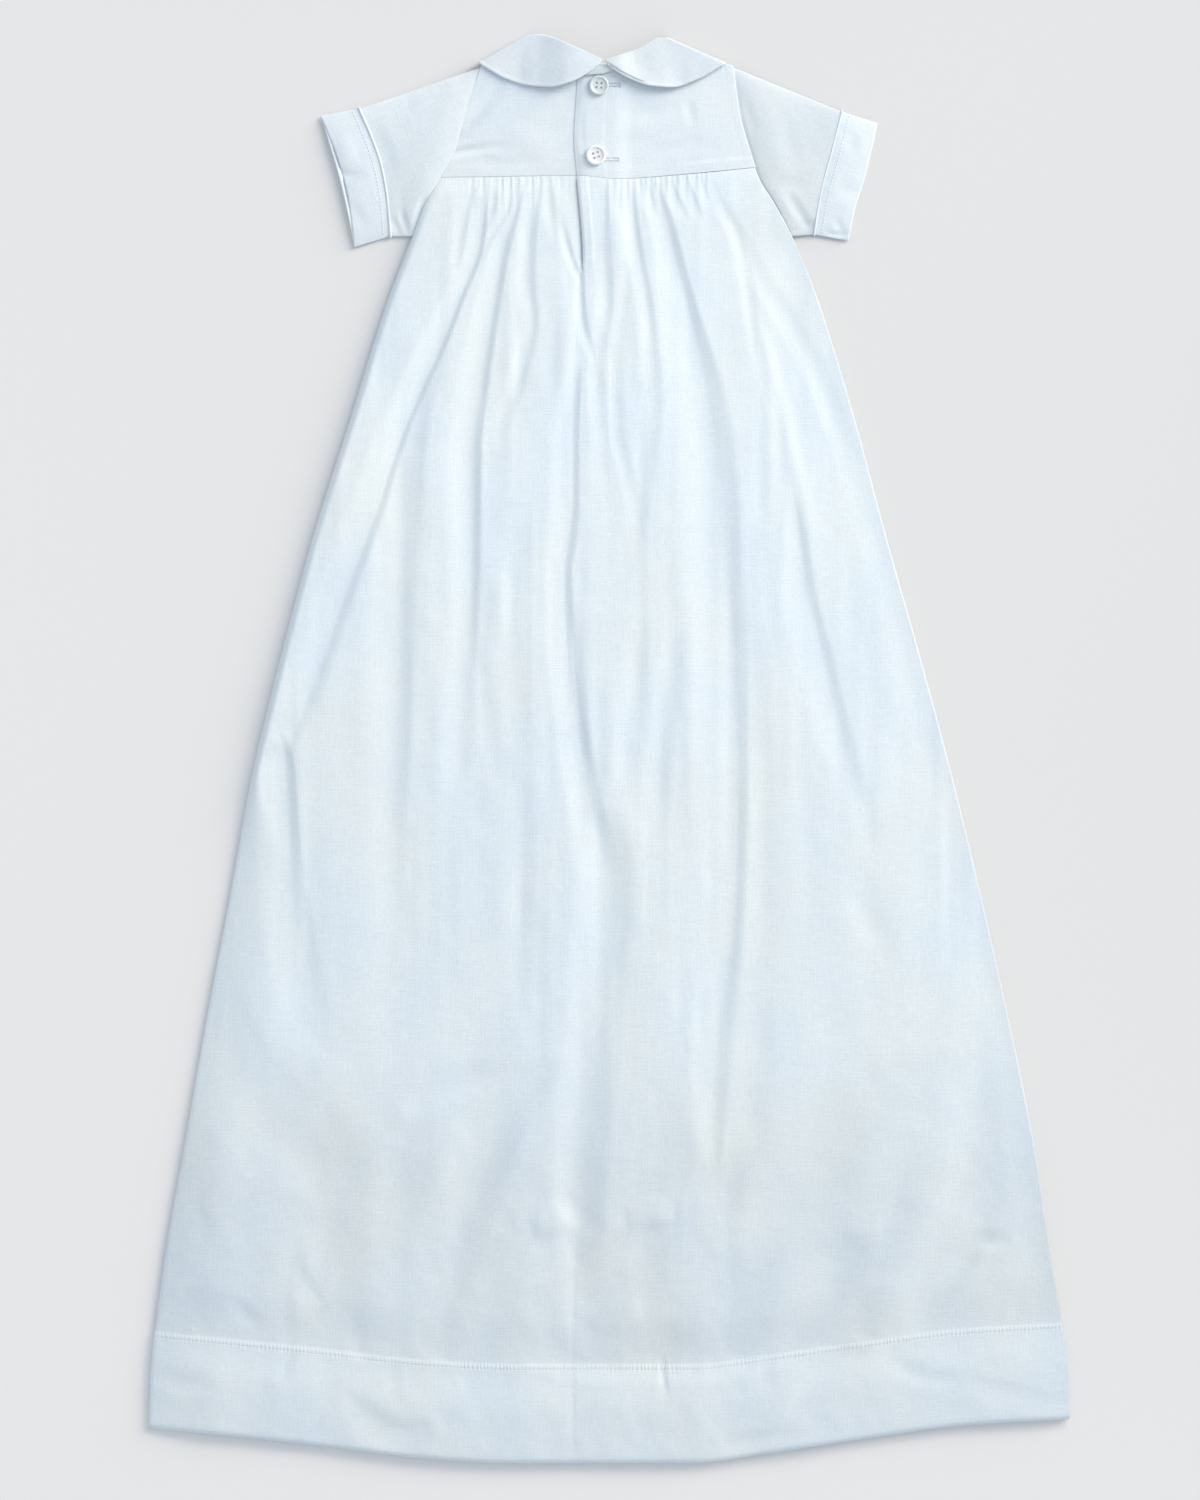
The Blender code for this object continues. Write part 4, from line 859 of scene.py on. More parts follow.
# The two sleeves are copies of one cloth: the left one is made lighter, as painted light against the shade it
# lies in, and the right one darker, as painted shade against the low light it faces
sleeve_cotton = cotton("cotton_sleeve", (0.785, 0.855, 0.895), turn=-0.35)
sleeve_cotton_painted_shade = cotton("cotton_sleeve_painted_shade", (0.655, 0.718, 0.755), turn=0.3)
cuff_cotton = cotton("cotton_cuff", (0.757, 0.832, 0.895), turn=-0.35)
cuff_cotton_right = cotton("cotton_cuff_right", (0.760, 0.830, 0.870), turn=0.3)
binding_cotton = cotton("cotton_binding", (0.70, 0.77, 0.80), turn=0.8)
piping_cotton = cotton("cotton_piping", (0.70, 0.765, 0.80), weave=0.28, bump=0.35)
thread = cotton("thread", (0.77, 0.84, 0.90), weave=0.2, bump=0.3)
# A darker copy of the thread, as painted shade, for the upper buttonhole in the collar's shadow
shaded_thread = cotton("thread_shaded", (0.66, 0.69, 0.78), weave=0.2, bump=0.3)


# Skirt

def skirt_across(column, y, left_half):
    """Place across of a column at the heights y: even at the seam, and closer to the folds below it."""
    columns = [0, *dict(GUIDES), GUIDE_COLUMNS]
    places = [left_edge(y)]
    for at, across in GUIDES:
        place = through(list(zip(FOLD_HEIGHTS, across)), y)
        if at == SLIT_COLUMN and left_half:
            foot = SEAM_HEIGHT - SLIT_LENGTH
            lapped = SKIRT_UNDERLAP * (1.0 - (SEAM_HEIGHT - y) / LAP_LENGTH)
            opened = SLIT_UNDER * rising(y, foot, 5.0)
            place = place + np.where(y > foot, np.maximum(lapped, opened), 0.0)
        places.append(place)
    places.append(right_edge(y))
    crowd = FOLD_CROWDING * smoothstep((SEAM_HEIGHT - y) / CROWDING_LENGTH)
    x = np.zeros_like(y)
    for k, (first, last) in enumerate(zip(columns[:-1], columns[1:])):
        t = (column - first) / (last - first)
        eased = t - crowd * np.sin(2.0 * np.pi * t) / (2.0 * np.pi)
        x = np.where((t >= 0.0) & (t <= 1.0), mix(places[k], places[k + 1], eased), x)
    return x


def skirt_height_at(across_top, across_bottom, fraction):
    """Height on the skirt, a fraction of the way from the seam down to the hem."""
    return mix(through(SEAM, across_top) - 0.06, through(HEM, across_bottom), fraction)


def hem_step(below):
    return rising(below, HEM_LINE - HEM_STEP, HEM_STEP)


def ticks(x, below):
    """Tight gathers just below the seam, closest where the cloth is fullest."""
    px = x / PIXEL + PICTURE_MIDDLE[0]
    full = sum(rising(px, start, 12.0) * falling(px, end, fade) for start, end, fade in TICK_SPANS)
    wander = 1.6 * noise(x, below, 6.0, 60.0, 11)
    tight = np.sin(2.0 * np.pi * (x + wander) / 3.1) * bell(below, 7.0)
    looser = np.sin(2.0 * np.pi * (x + 2.0 * wander) / 6.6) * bell(below, 17.0)
    return TICK_HEIGHT * full * (tight + looser) * rising(below, -1.0, 3.0)


def skirt_relief(x, y, below):
    """Height of the back skirt's cloth above the lowest level it can have."""
    parts = {"upper": falling(below, *UPPER_PART), "all": 1.0, "low": rising(below, *LOW_PART)}
    wrinkles = sum(parts[part] * height * noise(x, y, across, down, seed)
                   for part, height, across, down, seed in SKIRT_WRINKLES)
    creases = creased(SKIRT_CREASES, x, y, tight=True)
    depth = mix(*CREASE_DEPTH, parts["low"]) * mix(CREASE_DEPTH_AT_SEAM, 1.0, smoothstep(below / 40.0))
    creases = np.sign(creases) * depth * np.abs(creases) ** CREASE_POWER
    rise = above_zero(through(FULLNESS, below) + creases + wrinkles * smoothstep(below / 14.0))
    rise = rise + ticks(x, below)
    from_left, from_right = x - left_edge(y), right_edge(y) - x
    lower = rising(below, 360.0, 80.0)
    left, width = (mix(high, low, lower) for high, low in zip(LEFT_FALL, LEFT_FALL_LOW))
    left = left * near_edge(from_left, width)
    right = RIGHT_FALL[0] * near_edge(from_right, RIGHT_FALL[1])
    right = right - RIGHT_EDGE_RISE[0] * near_edge(from_right, RIGHT_EDGE_RISE[1])
    right = right * smoothstep(below / 60.0)
    hem = near_edge(SKIRT_LENGTH - below, HEM_ROUND)
    rise = rise * (1.0 - left) * (1.0 - right) * (1.0 - 0.2 * hem)
    rise = rise - EDGE_SINK * near_edge(from_left, mix(*EDGE_SINK_WIDTHS, lower)) * smoothstep(below / 70.0)
    rise = rise - EDGE_DROP[0] * near_edge(from_left, EDGE_DROP[1]) * smoothstep(below / 40.0)
    rise = rise - BODY_SINK * smoothstep(below / 60.0) - HEM_DROP * hem ** 1.5
    rise = rise - SEAM_DIP[0] * bell(below, SEAM_DIP[1])
    return rise + SEAM_RISE_RIGHT[0] * rising(x, 22.0, 30.0) * bell(below, SEAM_RISE_RIGHT[1])


def skirt_half(left_half, columns, rows):
    """One half of the back skirt, as a grid of places and lengths below the seam."""
    column, below = np.meshgrid(columns, rows)
    fraction = below / SKIRT_LENGTH
    top, bottom = (skirt_across(column, np.full_like(column, height), left_half)
                   for height in (SEAM_HEIGHT, FOLD_HEIGHTS[-1]))
    y = skirt_height_at(top, bottom, fraction)
    x = skirt_across(column, y, left_half)
    rise = skirt_relief(x, y, below)
    slit = slit_edge(y)
    opened = falling(below, SLIT_LENGTH - SLIT_FADE, SLIT_FADE)
    if left_half:
        away = mix(SLIT_LEFT[0], 1.0, smoothstep((slit - x) / SLIT_LEFT[1] + 0.15))
        rise = rise * mix(1.0, away, opened)
        rise = rise - SLIT_LEFT_DIP[0] * opened * rising(x, slit - SLIT_LEFT_DIP[1], SLIT_LEFT_DIP[1])
    else:
        calm = falling(below, SLIT_LENGTH - 30.0, 50.0)
        away = mix(SLIT_RIGHT[0], 1.0, rising(x, slit, SLIT_RIGHT[1]))
        rise = rise * mix(1.0, away, calm) + SKIRT_LAP * lap(x) * calm
        from_fold = x - x[:, :1]
        rise = rise + opened * (PLACKET[0] * falling(from_fold, PLACKET[1], 1.0)
                                - PLACKET_DIP[0] * bell(from_fold, PLACKET_DIP[1]))
    z = lift(y) + TWO_LAYERS + HEM_RIDGE * hem_step(below) + rise
    # The cloth turns down at the side seams, less where the sleeves join
    t = 1.0 - np.clip(np.minimum(x - left_edge(y), right_edge(y) - x) / EDGE_WALL, 0.0, 1.0)
    free = 1.0 - 0.65 * rising(y, ARMHOLE_FOOT + 4.0, 10.0)
    turned = 1.0 - np.sqrt(np.clip(1.0 - t ** 2.5, 0.0, 1.0))
    z = z - (z - SIDE_FOOT - 0.8 * lift(y)) * turned * free
    x = x - np.sign(x) * SIDE_TUCK * smoothstep(2.0 * t - 1.0) * free
    return np.stack([x, y, z, below], axis=-1)


def skirt_back():
    """Back skirt in two halves, joined below the slit, and the path of its hem stitches."""
    rows = np.concatenate([np.arange(*step) for step in SKIRT_ROWS])
    each = 1.0 / SKIRT_COLUMNS_EACH
    left = skirt_half(True, np.concatenate(
        [EDGE_COLUMNS, np.arange(0.4, SLIT_COLUMN - 0.1, each), [SLIT_COLUMN]]), rows)
    right = skirt_half(False, np.concatenate(
        [np.arange(SLIT_COLUMN, GUIDE_COLUMNS - 0.35, each), GUIDE_COLUMNS - EDGE_COLUMNS[::-1]]), rows)
    apart = (rows < SLIT_LENGTH - 0.6).astype(int)
    joined = apart == 0
    left[joined, -1, 2] = 0.5 * (left[joined, -1, 2] + right[joined, 0, 2])
    points = np.concatenate([part for r, own in enumerate(apart) for part in (left[r], right[r, 1 - own:])])
    ends = np.cumsum(left.shape[1] + right.shape[1] - 1 + apart)
    starts = np.concatenate([[0], ends[:-1]])[:, None]
    left_index = starts + np.arange(left.shape[1])
    right_index = starts + left.shape[1] - 1 + apart[:, None] + np.arange(right.shape[1])
    faces = quads(left_index) + quads(right_index)
    # The cloth turns under at the hem and runs back up inside to its stitching
    last = np.concatenate([left_index[-1], right_index[-1, 1:]])
    picks = sorted({*range(0, len(last), 3), len(last) - 1})
    turned = []
    for back, down in HEM_TURN:
        row = points[last[picks]]
        row[:, 1] += back
        row[:, 2] = np.maximum(row[:, 2] - down, HEM_FOOT)
        side = np.where(row[:, 0] < 0.0, left_edge(row[:, 1]) / HEM[0][0], right_edge(row[:, 1]) / HEM[-1][0])
        row[:, 0] *= side - 0.0025 * min(1.0, abs(back))
        turned.append(row)
    strip = numbers(len(turned), len(picks), len(points))
    for k, (a, b) in enumerate(zip(picks[:-1], picks[1:])):
        faces.append([*last[a:b + 1][::-1].tolist(), int(strip[0, k]), int(strip[0, k + 1])])
    faces += quads(strip)
    points = np.concatenate([points, *turned])
    made = mesh_object("cloth_skirt_back", points[:, :3], faces, skirt_cotton)
    set_uv(made, points[:, [0, 3]])
    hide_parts("skirt_back")
    hem_row = int(np.argmin(np.abs(rows - HEM_STITCHES_AT)))
    return made, np.concatenate([left[hem_row, :, :3], right[hem_row, 1:, :3]])


def skirt_front():
    rows = np.concatenate([np.linspace(0.0, HEM_LINE - HEM_STEP, 70),
                           np.linspace(HEM_LINE, SKIRT_LENGTH - 0.6, 12), [SKIRT_LENGTH]])
    across, below = np.meshgrid(spaced(70, 0.004), rows)
    fraction = below / SKIRT_LENGTH
    top = mix(left_edge(SEAM_HEIGHT), right_edge(SEAM_HEIGHT), across)
    bottom = mix(HEM[0][0], HEM[-1][0], across)
    y = skirt_height_at(top, bottom, fraction)
    x = mix(left_edge(y) + FRONT_INSET, right_edge(y) - FRONT_INSET, across)
    y = y + FRONT_INSET * fraction
    inner = smoothstep(np.minimum(across, 1.0 - across) / 0.03)
    thick = mix(FRONT_EDGE, THIN, inner) + FRONT_HEM * hem_step(below) * inner
    height = lift(y) * rising(y, LIFT_FOOT, 20.0) + thick + 0.08 * inner * (1.0 + noise(x, y, 22.0, 40.0, 21))
    made = shell("cloth_skirt_front", x, y, height, thick - 0.1, panel_cotton)
    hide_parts("skirt_front")
    return made


# Yoke and neck

def yoke_grid(top_table, left, right, columns, rows):
    """Places on the yoke between its top line, the seam and its two side lines."""
    across, down = np.meshgrid(spaced(columns, 0.006), spaced(rows, 0.008))
    x_top = mix(top_table[0][0], top_table[-1][0], across)
    x_seam = mix(left(SEAM_HEIGHT), right(SEAM_HEIGHT), across)
    y = mix(straight(top_table, x_top), through(SEAM, x_seam), down)
    x = mix(x_top, x_seam, down)
    return x + mix(left(y[:, :1]) - x[:, :1], right(y[:, -1:]) - x[:, -1:], across), y


def pressed_bands(x, y):
    """Seam allowances pressed upwards under the yoke's lower edge and inwards along the right armhole."""
    lower = mix(*ALLOWANCES, rising(x, 30.0, 30.0)) * falling(y - through(SEAM, x), ALLOWANCE_DEPTH, 2.0)
    return lower + ARMHOLE_ALLOWANCE[0] * falling(right_edge(y) - x, ARMHOLE_ALLOWANCE[1], 2.0)


def yoke_back(name, top, left, right, columns, folded):
    """One back half: the right one has the folded closing edge, the left one runs under it."""
    x, y = yoke_grid(top, left, right, columns, 84)
    fold = x - closing_edge(y)
    height = YOKE_LIFT + LAYER + CLOTH + creased(YOKE_CREASES, x, y) + pressed_bands(x, y)
    height = height + 0.07 * noise(x, y, 8.0, 9.0, 31) + 0.10 * noise(x, y, 22.0, 16.0, 32)
    if folded:
        height = height + YOKE_LAP * lap(x) + FACING[0] * falling(fold, FACING[1], 1.2)
        height = height - CLOSING_FOLD[0] * bell(fold, CLOSING_FOLD[1])
    else:
        height = height - YOKE_RUNS_UNDER * rising(fold, -1.0, 4.0)
    made = shell("cloth_" + name, x, y, height, THIN, yoke_cotton, 0.1)
    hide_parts(name)
    return made


def yoke_front():
    x, y = yoke_grid(YOKE_TOP_FRONT, left_edge, right_edge, 60, 30)
    made = shell("cloth_yoke_front", x, y, np.full_like(x, YOKE_LIFT + CLOTH), THIN, panel_cotton)
    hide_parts("yoke_front")
    return made


def neck_binding():
    x, down = np.meshgrid(np.linspace(BINDING_FROM, BINDING_TO, 90), spaced(8, 0.05))
    y = straight(YOKE_TOP_RIGHT, x) - GAP - BINDING_WIDTH * down
    bulge = 0.35 * np.sin(np.pi * down) + 0.04 * noise(x, y, 2.0, 3.0, 41)
    height = YOKE_LIFT + 2.0 * LAYER + lap(x) + BINDING_THICK - 0.2 + bulge
    made = shell("cloth_neck_binding", x, y, height, BINDING_THICK - 0.2, binding_cotton)
    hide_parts("neck_binding")
    return made


# Collar

def collar(side, back, front):
    """Half of the collar: it lies on the back, folds over the shoulder and runs on under the front."""
    outward = COLLAR_TURNS_TO[side]
    across = np.concatenate([spaced(26, 0.03)[:-7], np.linspace(0.80, 0.985, 26), [0.993, 0.998, 1.0]])
    shoulder = back[-1][:4]
    xi, yi, xo, yo = shoulder
    upper = float(through(COLLAR_BED, xi)) + 0.5 * CLOTH
    lower = 0.5 * CLOTH
    half, middle_height = 0.5 * (upper - lower), 0.5 * (upper + lower)
    rows = []
    for t, (x0, y0, x1, y1, rise) in zip(np.linspace(0.0, 1.0, 96), along(back, np.linspace(0.0, 1.0, 96))):
        x, y = mix(x0, x1, across), mix(y0, y1, across)
        near_fold = rising(t, 2.0 / 3.0, 1.0 / 3.0)
        height = mix(through(COLLAR_BED, x) + 0.5 * CLOTH, upper, near_fold)
        height = height + COLLAR_RISE * rise * (0.35 * across + 0.65 * across ** 2)
        height = height + 0.5 * np.sin(np.pi * across) * np.sin(np.pi * min(1.0, 2.2 * t)) * (1.0 - near_fold)
        height = height + creased(COLLAR_CREASES, x, y) * smoothstep(6.0 * t) * falling(t, 0.75, 0.25)
        height = height + 0.07 * noise(x, y, 7.0, 8.0, 51)
        if side == "right":
            # The under collar shows as a second band along the lower left of the edge
            from_edge = (1.0 - across) * math.hypot(x1 - x0, y1 - y0)
            shows = smoothstep(t / 0.06) * falling(t, 0.42, 0.12)
            height = height - UNDER_COLLAR[0] * shows * falling(from_edge, UNDER_COLLAR[1], 0.3)
        rows.append((x, y, height))
    for turn in np.arange(1, 14) * math.pi / 14.0:
        reach = 2.0 * half * COLLAR_FOLD_REACH * math.sin(turn) * mix(0.4, 1.0, across)
        rows.append((mix(xi, xo, across) + reach * outward[0], mix(yi, yo, across) + reach * outward[1],
                     np.full_like(across, middle_height + half * math.cos(turn))))
    for x0, y0, x1, y1 in along([shoulder, *front], np.linspace(0.0, 1.0, 36)):
        rows.append((mix(x0, x1, across), mix(y0, y1, across), np.full_like(across, lower)))
    middle = np.stack(rows).transpose(0, 2, 1)
    normal = np.cross(np.gradient(middle, axis=0), np.gradient(middle, axis=1))
    normal /= np.maximum(np.linalg.norm(normal, axis=-1, keepdims=True), 1e-9)
    normal *= np.sign(normal[0, 4, 2])
    # The stitched edge is a little thicker, and the outermost rows and columns are rounded off
    from_edge = (1.0 - across) * np.linalg.norm(middle[:, -1] - middle[:, 0], axis=-1)[:, None]
    thick = 0.5 * (1.0 + 0.35 * bell(from_edge - 1.1, 1.0))
    thick[:, 0] *= 0.2
    thick[:, -2:] *= (0.75, 0.15)
    thick[[0, -1]] *= 0.2
    outer, inner = (middle + sign * thick[..., None] * normal for sign in (1.0, -1.0))
    for face in (outer, inner):
        face[..., 2] = np.maximum(face[..., 2], FLOOR_CLEAR)
    made = two_sided("cloth_collar_" + side, outer, inner, collar_cotton, outward[0] > 0.0)
    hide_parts("collar_" + side)
    return made


# Sleeves, piping and cuffs

# A ring of a flat tube: each point's fraction across, whether it is on the upper half, and how far the tube
# opens there, for the cloth and for the cuff's mouth
RING = 60
HALF_RING = 0.5 - 0.5 * np.cos(np.pi * np.arange(RING + 1) / RING)
ACROSS = np.concatenate([HALF_RING, HALF_RING[-2:0:-1]])
UPPER = np.arange(len(ACROSS)) <= RING
OPEN = np.sqrt(np.clip(1.0 - (2.0 * ACROSS - 1.0) ** 6, 0.0, 1.0))
MOUTH = np.clip(1.0 - (2.0 * ACROSS - 1.0) ** 4, 0.0, 1.0)


def line_at(points, offset=0.0):
    """A line of points at the ring's fractions across, moved to the right by the offset."""
    return along(points, ACROSS) + np.array([offset, 0.0])


def tube(start, end, steps, flat, puff, creases, start_dip=0.0):
    """Rings of a flattened tube of cloth from a start line to an end line."""
    sides = 1.0 - (2.0 * ACROSS - 1.0) ** 2
    rings = []
    for s in np.linspace(0.0, 1.0, steps):
        x, y = mix(start, end, s).T
        low = np.zeros(len(ACROSS)) if flat else lift(y) * (1.0 - smoothstep(1.3 * s))
        sink = ARM_SINK if flat else ARM_SINK * smoothstep(s / 0.8)
        high = low + TWO_LAYERS + puff * math.sin(math.pi * s) * sides - sink
        middle = low + CLOTH + 0.5 * GAP - 0.5 * sink
        relief = creased(creases, x, y) - start_dip * bell(s, 0.035)
        relief = relief + 0.10 * noise(x, y, 12.0, 13.0, 61) + 0.05 * noise(x, y, 5.0, 6.0, 62)
        z = np.where(UPPER, mix(middle, high, OPEN) + relief * OPEN, mix(middle, low + 0.05, OPEN))
        rings.append(np.stack([x, y, z], axis=-1))
    return rings


def cord(name, path, radius, material):
    """Round cord along a closed path."""
    tangent = np.roll(path, -1, axis=0) - np.roll(path, 1, axis=0)
    tangent /= np.linalg.norm(tangent, axis=1, keepdims=True)
    side = np.cross(np.cross(tangent, path - path.mean(axis=0)), tangent)
    side /= np.maximum(np.linalg.norm(side, axis=1, keepdims=True), 1e-9)
    other = np.cross(tangent, side)
    points = np.stack([path + radius * (side * math.cos(turn) + other * math.sin(turn))
                       for turn in np.arange(12) * math.pi / 6.0])
    index = ring_numbers(12, len(path))
    return mesh_object(name, points, quads(np.vstack([index, index[:1]])), material)


def arm(side, edge, outwards, seam, end_upper, end_lower, piping, sleeve_material, cuff_material):
    """Sleeve, cuff and piping of one side, and the cuff's stitches."""
    inside_out = outwards > 0.0
    y = mix(ARMHOLE_TOP, ARMHOLE_FOOT, ACROSS)
    armhole = np.stack([edge(y) - SLEEVE_UNDER * outwards, y], axis=-1)
    beside = 0.2 * piping * outwards
    rings = tube(armhole, line_at(seam, -beside), 64, False, SLEEVE_PUFF, SLEEVE_CREASES, SLEEVE_DIP[side])
    index = ring_numbers(len(rings), len(ACROSS))
    sleeve = mesh_object("cloth_sleeve_" + side, np.array(rings), quads(index), sleeve_material, inside_out)
    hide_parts("sleeve_" + side)

    end = np.where(UPPER[:, None], line_at(end_upper), line_at(end_lower))
    outer = tube(line_at(seam, beside), end, 30, True, CUFF_PUFF, CUFF_CREASES)
    middle_z = CLOTH + 0.5 * GAP - 0.5 * ARM_SINK
    gape, lip = CUFF_GAPE[side], CUFF_LIP[side]

    def lip_at(back):
        return lip * MOUTH * falling(np.maximum(back, 0.0), 0.0, 4.0)

    inward = outer[0] - outer[-1]
    length = np.linalg.norm(inward, axis=1)
    for s, points in zip(np.linspace(0.0, 1.0, len(outer)), outer):
        points[:, 2] += np.where(UPPER, gape * MOUTH * smoothstep(s * 1.6 - 0.6), lip_at((1.0 - s) * length))
    # The cuff turns in at its mouth and is lined with its own cloth
    inward = outer[0] - outer[-1]
    inward[:, 2] = 0.0
    inward /= np.linalg.norm(inward, axis=1, keepdims=True)
    lining = []
    for back, depth in CUFF_TURN:
        row = outer[-1] + inward * back
        row[:, 2] += np.where(UPPER, -depth, depth) * np.clip(MOUTH * 3.0, 0.0, 1.0)
        low = row[:, 2] - lip * MOUTH + lip_at(back)
        low = mix(low, np.minimum(low, middle_z), rising(back, 2.0, 3.0))
        row[:, 2] = np.where(UPPER, np.maximum(row[:, 2], middle_z), low)
        lining.append(row)
    rings = outer + lining
    index = ring_numbers(len(rings), len(ACROSS))
    cuff = mesh_object("cloth_cuff_" + side, np.array(rings), quads(index), cuff_material, inside_out)
    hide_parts("cuff_" + side)

    x, y = line_at(seam).T
    z = mix(middle_z, np.where(UPPER, TWO_LAYERS - 0.3 - ARM_SINK, 0.5 * piping), OPEN)
    path = np.stack([x, y - 0.5 * (2.0 * ACROSS - 1.0) ** 9, z], axis=-1)
    piped = cord("cloth_piping_" + side, path, CORD_SHARE * piping, piping_cotton)
    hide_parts("piping_" + side)

    line = outer[CUFF_STITCHES_ON[side]][3:RING - 3] + 0.08 * UP
    return sleeve, cuff, piped, stitches("stitches_cuff_" + side, line, *CUFF_STITCH, thread)


# Buttons and buttonholes

def button(name, material):
    """Four-hole button with a raised rim and a dished middle, and the thread that runs through its holes."""
    x, y, turn_by = BUTTONS[name]
    seat = np.array([x, y, YOKE_LIFT + 3.0 * LAYER - 0.45])
    turns = 2.0 * np.pi * np.arange(BUTTON_SIDES) / BUTTON_SIDES
    circle = np.stack([np.cos(turns), np.sin(turns), 0.0 * turns], axis=-1)
    foot, *rims, top = (radius * circle + height * UP for radius, height in BUTTON_PROFILE)
    index = ring_numbers(len(rims), BUTTON_SIDES, 1)
    first, last = index[0].tolist(), index[-1].tolist()
    end = 1 + len(rims) * BUTTON_SIDES
    faces = quads(index.T)
    faces += [[0, n, k] for k, n in zip(first[:-1], first[1:])]
    faces += [[k, n, end] for k, n in zip(last[:-1], last[1:])]
    made = mesh_object("looks_" + name, np.concatenate([foot[:1], *rims, top[:1]]), faces, material)
    holes = [np.array([math.cos(turn), math.sin(turn), 0.0]) * BUTTON_HOLE_SPREAD
             for turn in np.radians(turn_by + 90.0 * np.arange(4))]
    cutters = []
    for hole in holes:
        bpy.ops.mesh.primitive_cylinder_add(vertices=20, radius=BUTTON_HOLE_RADIUS * MM, depth=6.0 * MM,
                                            location=hole * MM)
        cutters.append(bpy.context.active_object)
        cut = made.modifiers.new("hole", "BOOLEAN")
        cut.solver = "EXACT"
        cut.object = cutters[-1]
    bpy.context.view_layer.update()
    mesh = bpy.data.meshes.new_from_object(made.evaluated_get(bpy.context.evaluated_depsgraph_get()))
    made.modifiers.clear()
    made.data = mesh
    for cutter in cutters:
        bpy.data.objects.remove(cutter, do_unlink=True)
    mesh.shade_smooth()
    mesh.set_sharp_from_angle(angle=math.radians(50.0))
    mesh.transform(Matrix.Translation(seat * MM))
    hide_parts(name)

    threads = []
    for p, q in (holes[:2], holes[2:]):
        away = (p + q) / np.linalg.norm(p + q)
        for shift in (-0.2, 0.2):
            middle = 0.5 * (p + q) + away * shift + seat + BUTTON_THREAD_LEVEL * UP
            threads.append(capsule(middle, q - p, np.linalg.norm(q - p) + 0.3, BUTTON_THREAD_RADIUS))
    sewing("thread_" + name, threads, thread)
    return made


def buttonhole(name, on, material):
    """Slot worked with close stitches on both sides and a bar at its end."""
    x_from, x_to, y = BUTTONHOLES[name]
    cloth = np.zeros(len(on.data.vertices) * 3, np.float32)
    on.data.vertices.foreach_get("co", cloth)
    cloth = cloth.reshape(-1, 3) / MM

    def above(x):
        close = np.argsort(np.hypot(cloth[:, 0] - x, cloth[:, 1] - y))[:12]
        return float(cloth[close, 2].max()) + 0.06

    bar_level = above(0.5 * (x_from + x_to))
    parts = []
    for k, x in enumerate(np.arange(x_from, x_to, BUTTONHOLE_PITCH)):
        for sign in (-1.0, 1.0):
            middle = np.array([x, y + sign * (0.85 + 0.05 * math.sin(7.0 * k)), above(x)])
            across = np.array([0.05 * math.sin(3.0 * k), 1.0, 0.0])
            parts.append(capsule(middle, across, *BUTTONHOLE_STITCH))
    for offset in np.arange(-1.3, 1.31, 0.4):
        middle = np.array([x_to + 0.35, y + offset, bar_level])
        parts.append(capsule(middle, np.array([1.0, 0.04, 0.0]), *BAR_STITCH))
    sewing(name, parts, material)


# Floor, lights and camera

AMBIENT = 0.64
AMBIENT_COLOUR = (0.929, 0.985, 1.063, 1.0)
WINDOW_POWER = 2.15
WINDOW_COLOUR = (1.15, 1.0, 0.78)
WINDOW_ANGLE = math.radians(28.0)
WINDOW_DIRECTION = (-0.825, -0.51, -0.25)
SOFT_BOX_POWER = 7.5
SOFT_BOX_SIZE = (0.6, 0.5)
SOFT_BOX_PLACE = (0.80, 1.05, 0.80)
SOFT_BOX_TARGET = (0.0, 0.05, 0.0)
CAMERA_HEIGHT = 4.0
PICTURE_HEIGHT = 0.9
PICTURE_CENTRE = (600.0, 750.0)
# Tone of the paper in the middle, and its change with x, y, x squared, y squared and x times y, in metres
FLOOR_TONE = (0.834, -0.141, -0.174, -0.014, -0.038, -0.226)
# Half the width and length over which it changes, and the distances between which it fades to an even tone
FLOOR_REACH = (0.45, 0.55)
FLOOR_FADE = (0.75, 2.2)


def floor_material():
    """Pale paper that grows paler away from the window, as the light on it falls."""
    nodes = Nodes("floor_paper", (0.80, 0.80, 0.80), 0.95, specular=0.05)
    where = nodes.add("TexCoord")["Object"]
    nodes.bump(nodes.noise(where, (900, 900, 900)), 0.05, 0.05)
    x, y = (nodes.calc("MINIMUM", nodes.calc("MAXIMUM", axis, -reach), reach)
            for axis, reach in zip(nodes.add("SeparateXYZ", {0: where}), FLOOR_REACH))
    tone = even = FLOOR_TONE[0]
    for share, a, b in zip(FLOOR_TONE[1:], (x, y, x, y, x), (1.0, 1.0, x, y, y)):
        tone = nodes.calc("MULTIPLY_ADD", nodes.calc("MULTIPLY", a, b), share, tone)
    away = nodes.add("VectorMath", {0: where}, operation="LENGTH")["Value"]
    change = nodes.calc("SUBTRACT", tone, even)
    tone = nodes.calc("MULTIPLY_ADD", change, nodes.ramp(away, *FLOOR_FADE, 1.0, 0.0), even)
    nodes.fill(nodes.shader, {"Base Color": nodes.add("CombineXYZ", {0: tone, 1: tone, 2: tone})[0]})
    return nodes.material


def aim(made, direction):
    made.rotation_euler = direction.to_track_quat("-Z", "Y").to_euler()


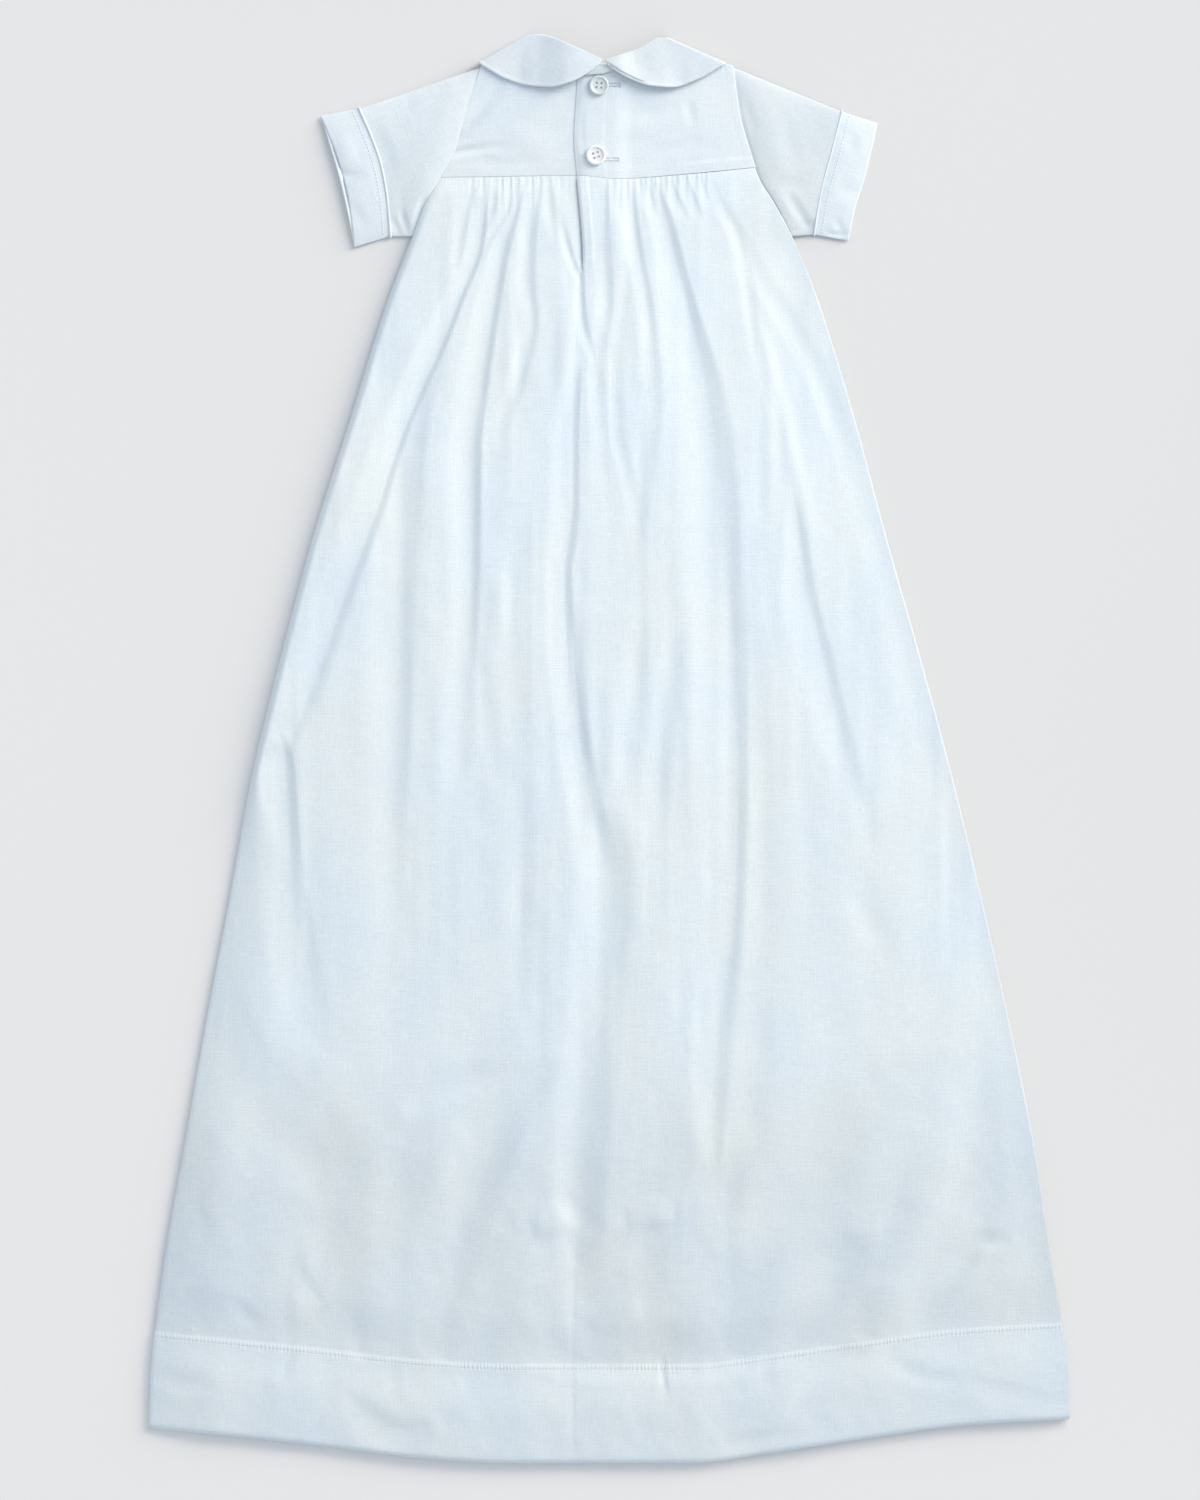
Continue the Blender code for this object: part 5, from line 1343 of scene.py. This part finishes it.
def stage_and_light():
    bpy.ops.mesh.primitive_plane_add(size=60.0, location=(0.0, 0.0, -0.0004))
    floor = bpy.context.active_object
    floor.name = "floor"
    floor.data.materials.append(floor_material())

    scene = bpy.context.scene
    scene.world = bpy.data.worlds.new("studio")
    scene.world.use_nodes = True
    background = scene.world.node_tree.nodes["Background"]
    background.inputs["Color"].default_value = AMBIENT_COLOUR
    background.inputs["Strength"].default_value = AMBIENT

    sun = bpy.data.lights.new("window", "SUN")
    sun.energy, sun.angle, sun.color = WINDOW_POWER, WINDOW_ANGLE, WINDOW_COLOUR
    aim(linked("window", sun), Vector(WINDOW_DIRECTION))

    area = bpy.data.lights.new("soft_box", "AREA")
    area.shape = "RECTANGLE"
    area.size, area.size_y = SOFT_BOX_SIZE
    area.energy = SOFT_BOX_POWER
    box = linked("soft_box", area)
    box.location = SOFT_BOX_PLACE
    aim(box, Vector(SOFT_BOX_TARGET) - box.location)

    camera = bpy.data.cameras.new("camera")
    camera.lens = camera.sensor_width * CAMERA_HEIGHT / PICTURE_HEIGHT
    camera.clip_end = 100.0
    scene.camera = linked("camera", camera)
    scene.camera.location = ((PICTURE_CENTRE[0] - PICTURE_MIDDLE[0]) * PIXEL * MM,
                             (PICTURE_MIDDLE[1] - PICTURE_CENTRE[1]) * PIXEL * MM, CAMERA_HEIGHT)
    scene.view_settings.view_transform = "Standard"


def main():
    back, hem_path = skirt_back()
    front = skirt_front()
    front_yoke = yoke_front()
    left_yoke = yoke_back("yoke_back_left", YOKE_TOP_LEFT, left_edge,
                          lambda y: closing_edge(y) + YOKE_UNDERLAP, 110, folded=False)
    right_yoke = yoke_back("yoke_back_right", YOKE_TOP_RIGHT, closing_edge, right_edge, 120, folded=True)
    binding = neck_binding()
    left_collar = collar("left", COLLAR_BACK_LEFT, COLLAR_FRONT_LEFT)
    right_collar = collar("right", COLLAR_BACK_RIGHT, COLLAR_FRONT_RIGHT)
    left = arm("left", left_edge, -1.0, CUFF_SEAM_LEFT, CUFF_END_LEFT_UPPER, CUFF_END_LEFT_LOWER, PIPING_LEFT,
               sleeve_cotton, cuff_cotton)
    right = arm("right", right_edge, 1.0, CUFF_SEAM_RIGHT, CUFF_END_RIGHT, CUFF_END_RIGHT, PIPING_RIGHT,
                sleeve_cotton_painted_shade, cuff_cotton_right)
    stitches("stitches_hem", hem_path[2:-2] + 0.02 * UP, *HEM_STITCH, thread)

    # The upper button's colour is darker, as painted shade for the collar's shadow over it
    buttons = (button("button_upper", button_material("button_shaded", (0.68, 0.75, 0.765), 0.5)),
               button("button_lower", button_material("button_white", (0.92, 0.93, 0.93), 0.6)))
    buttonhole("buttonhole_upper", right_yoke, shaded_thread)
    buttonhole("buttonhole_lower", right_yoke, thread)

    for piece in (back, front, front_yoke, left_yoke, right_yoke, binding, left_collar, right_collar,
                  *left[:3], *right[:3]):
        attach(piece, "root")
    for piece in buttons:
        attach(piece, "root")
    stage_and_light()


main()
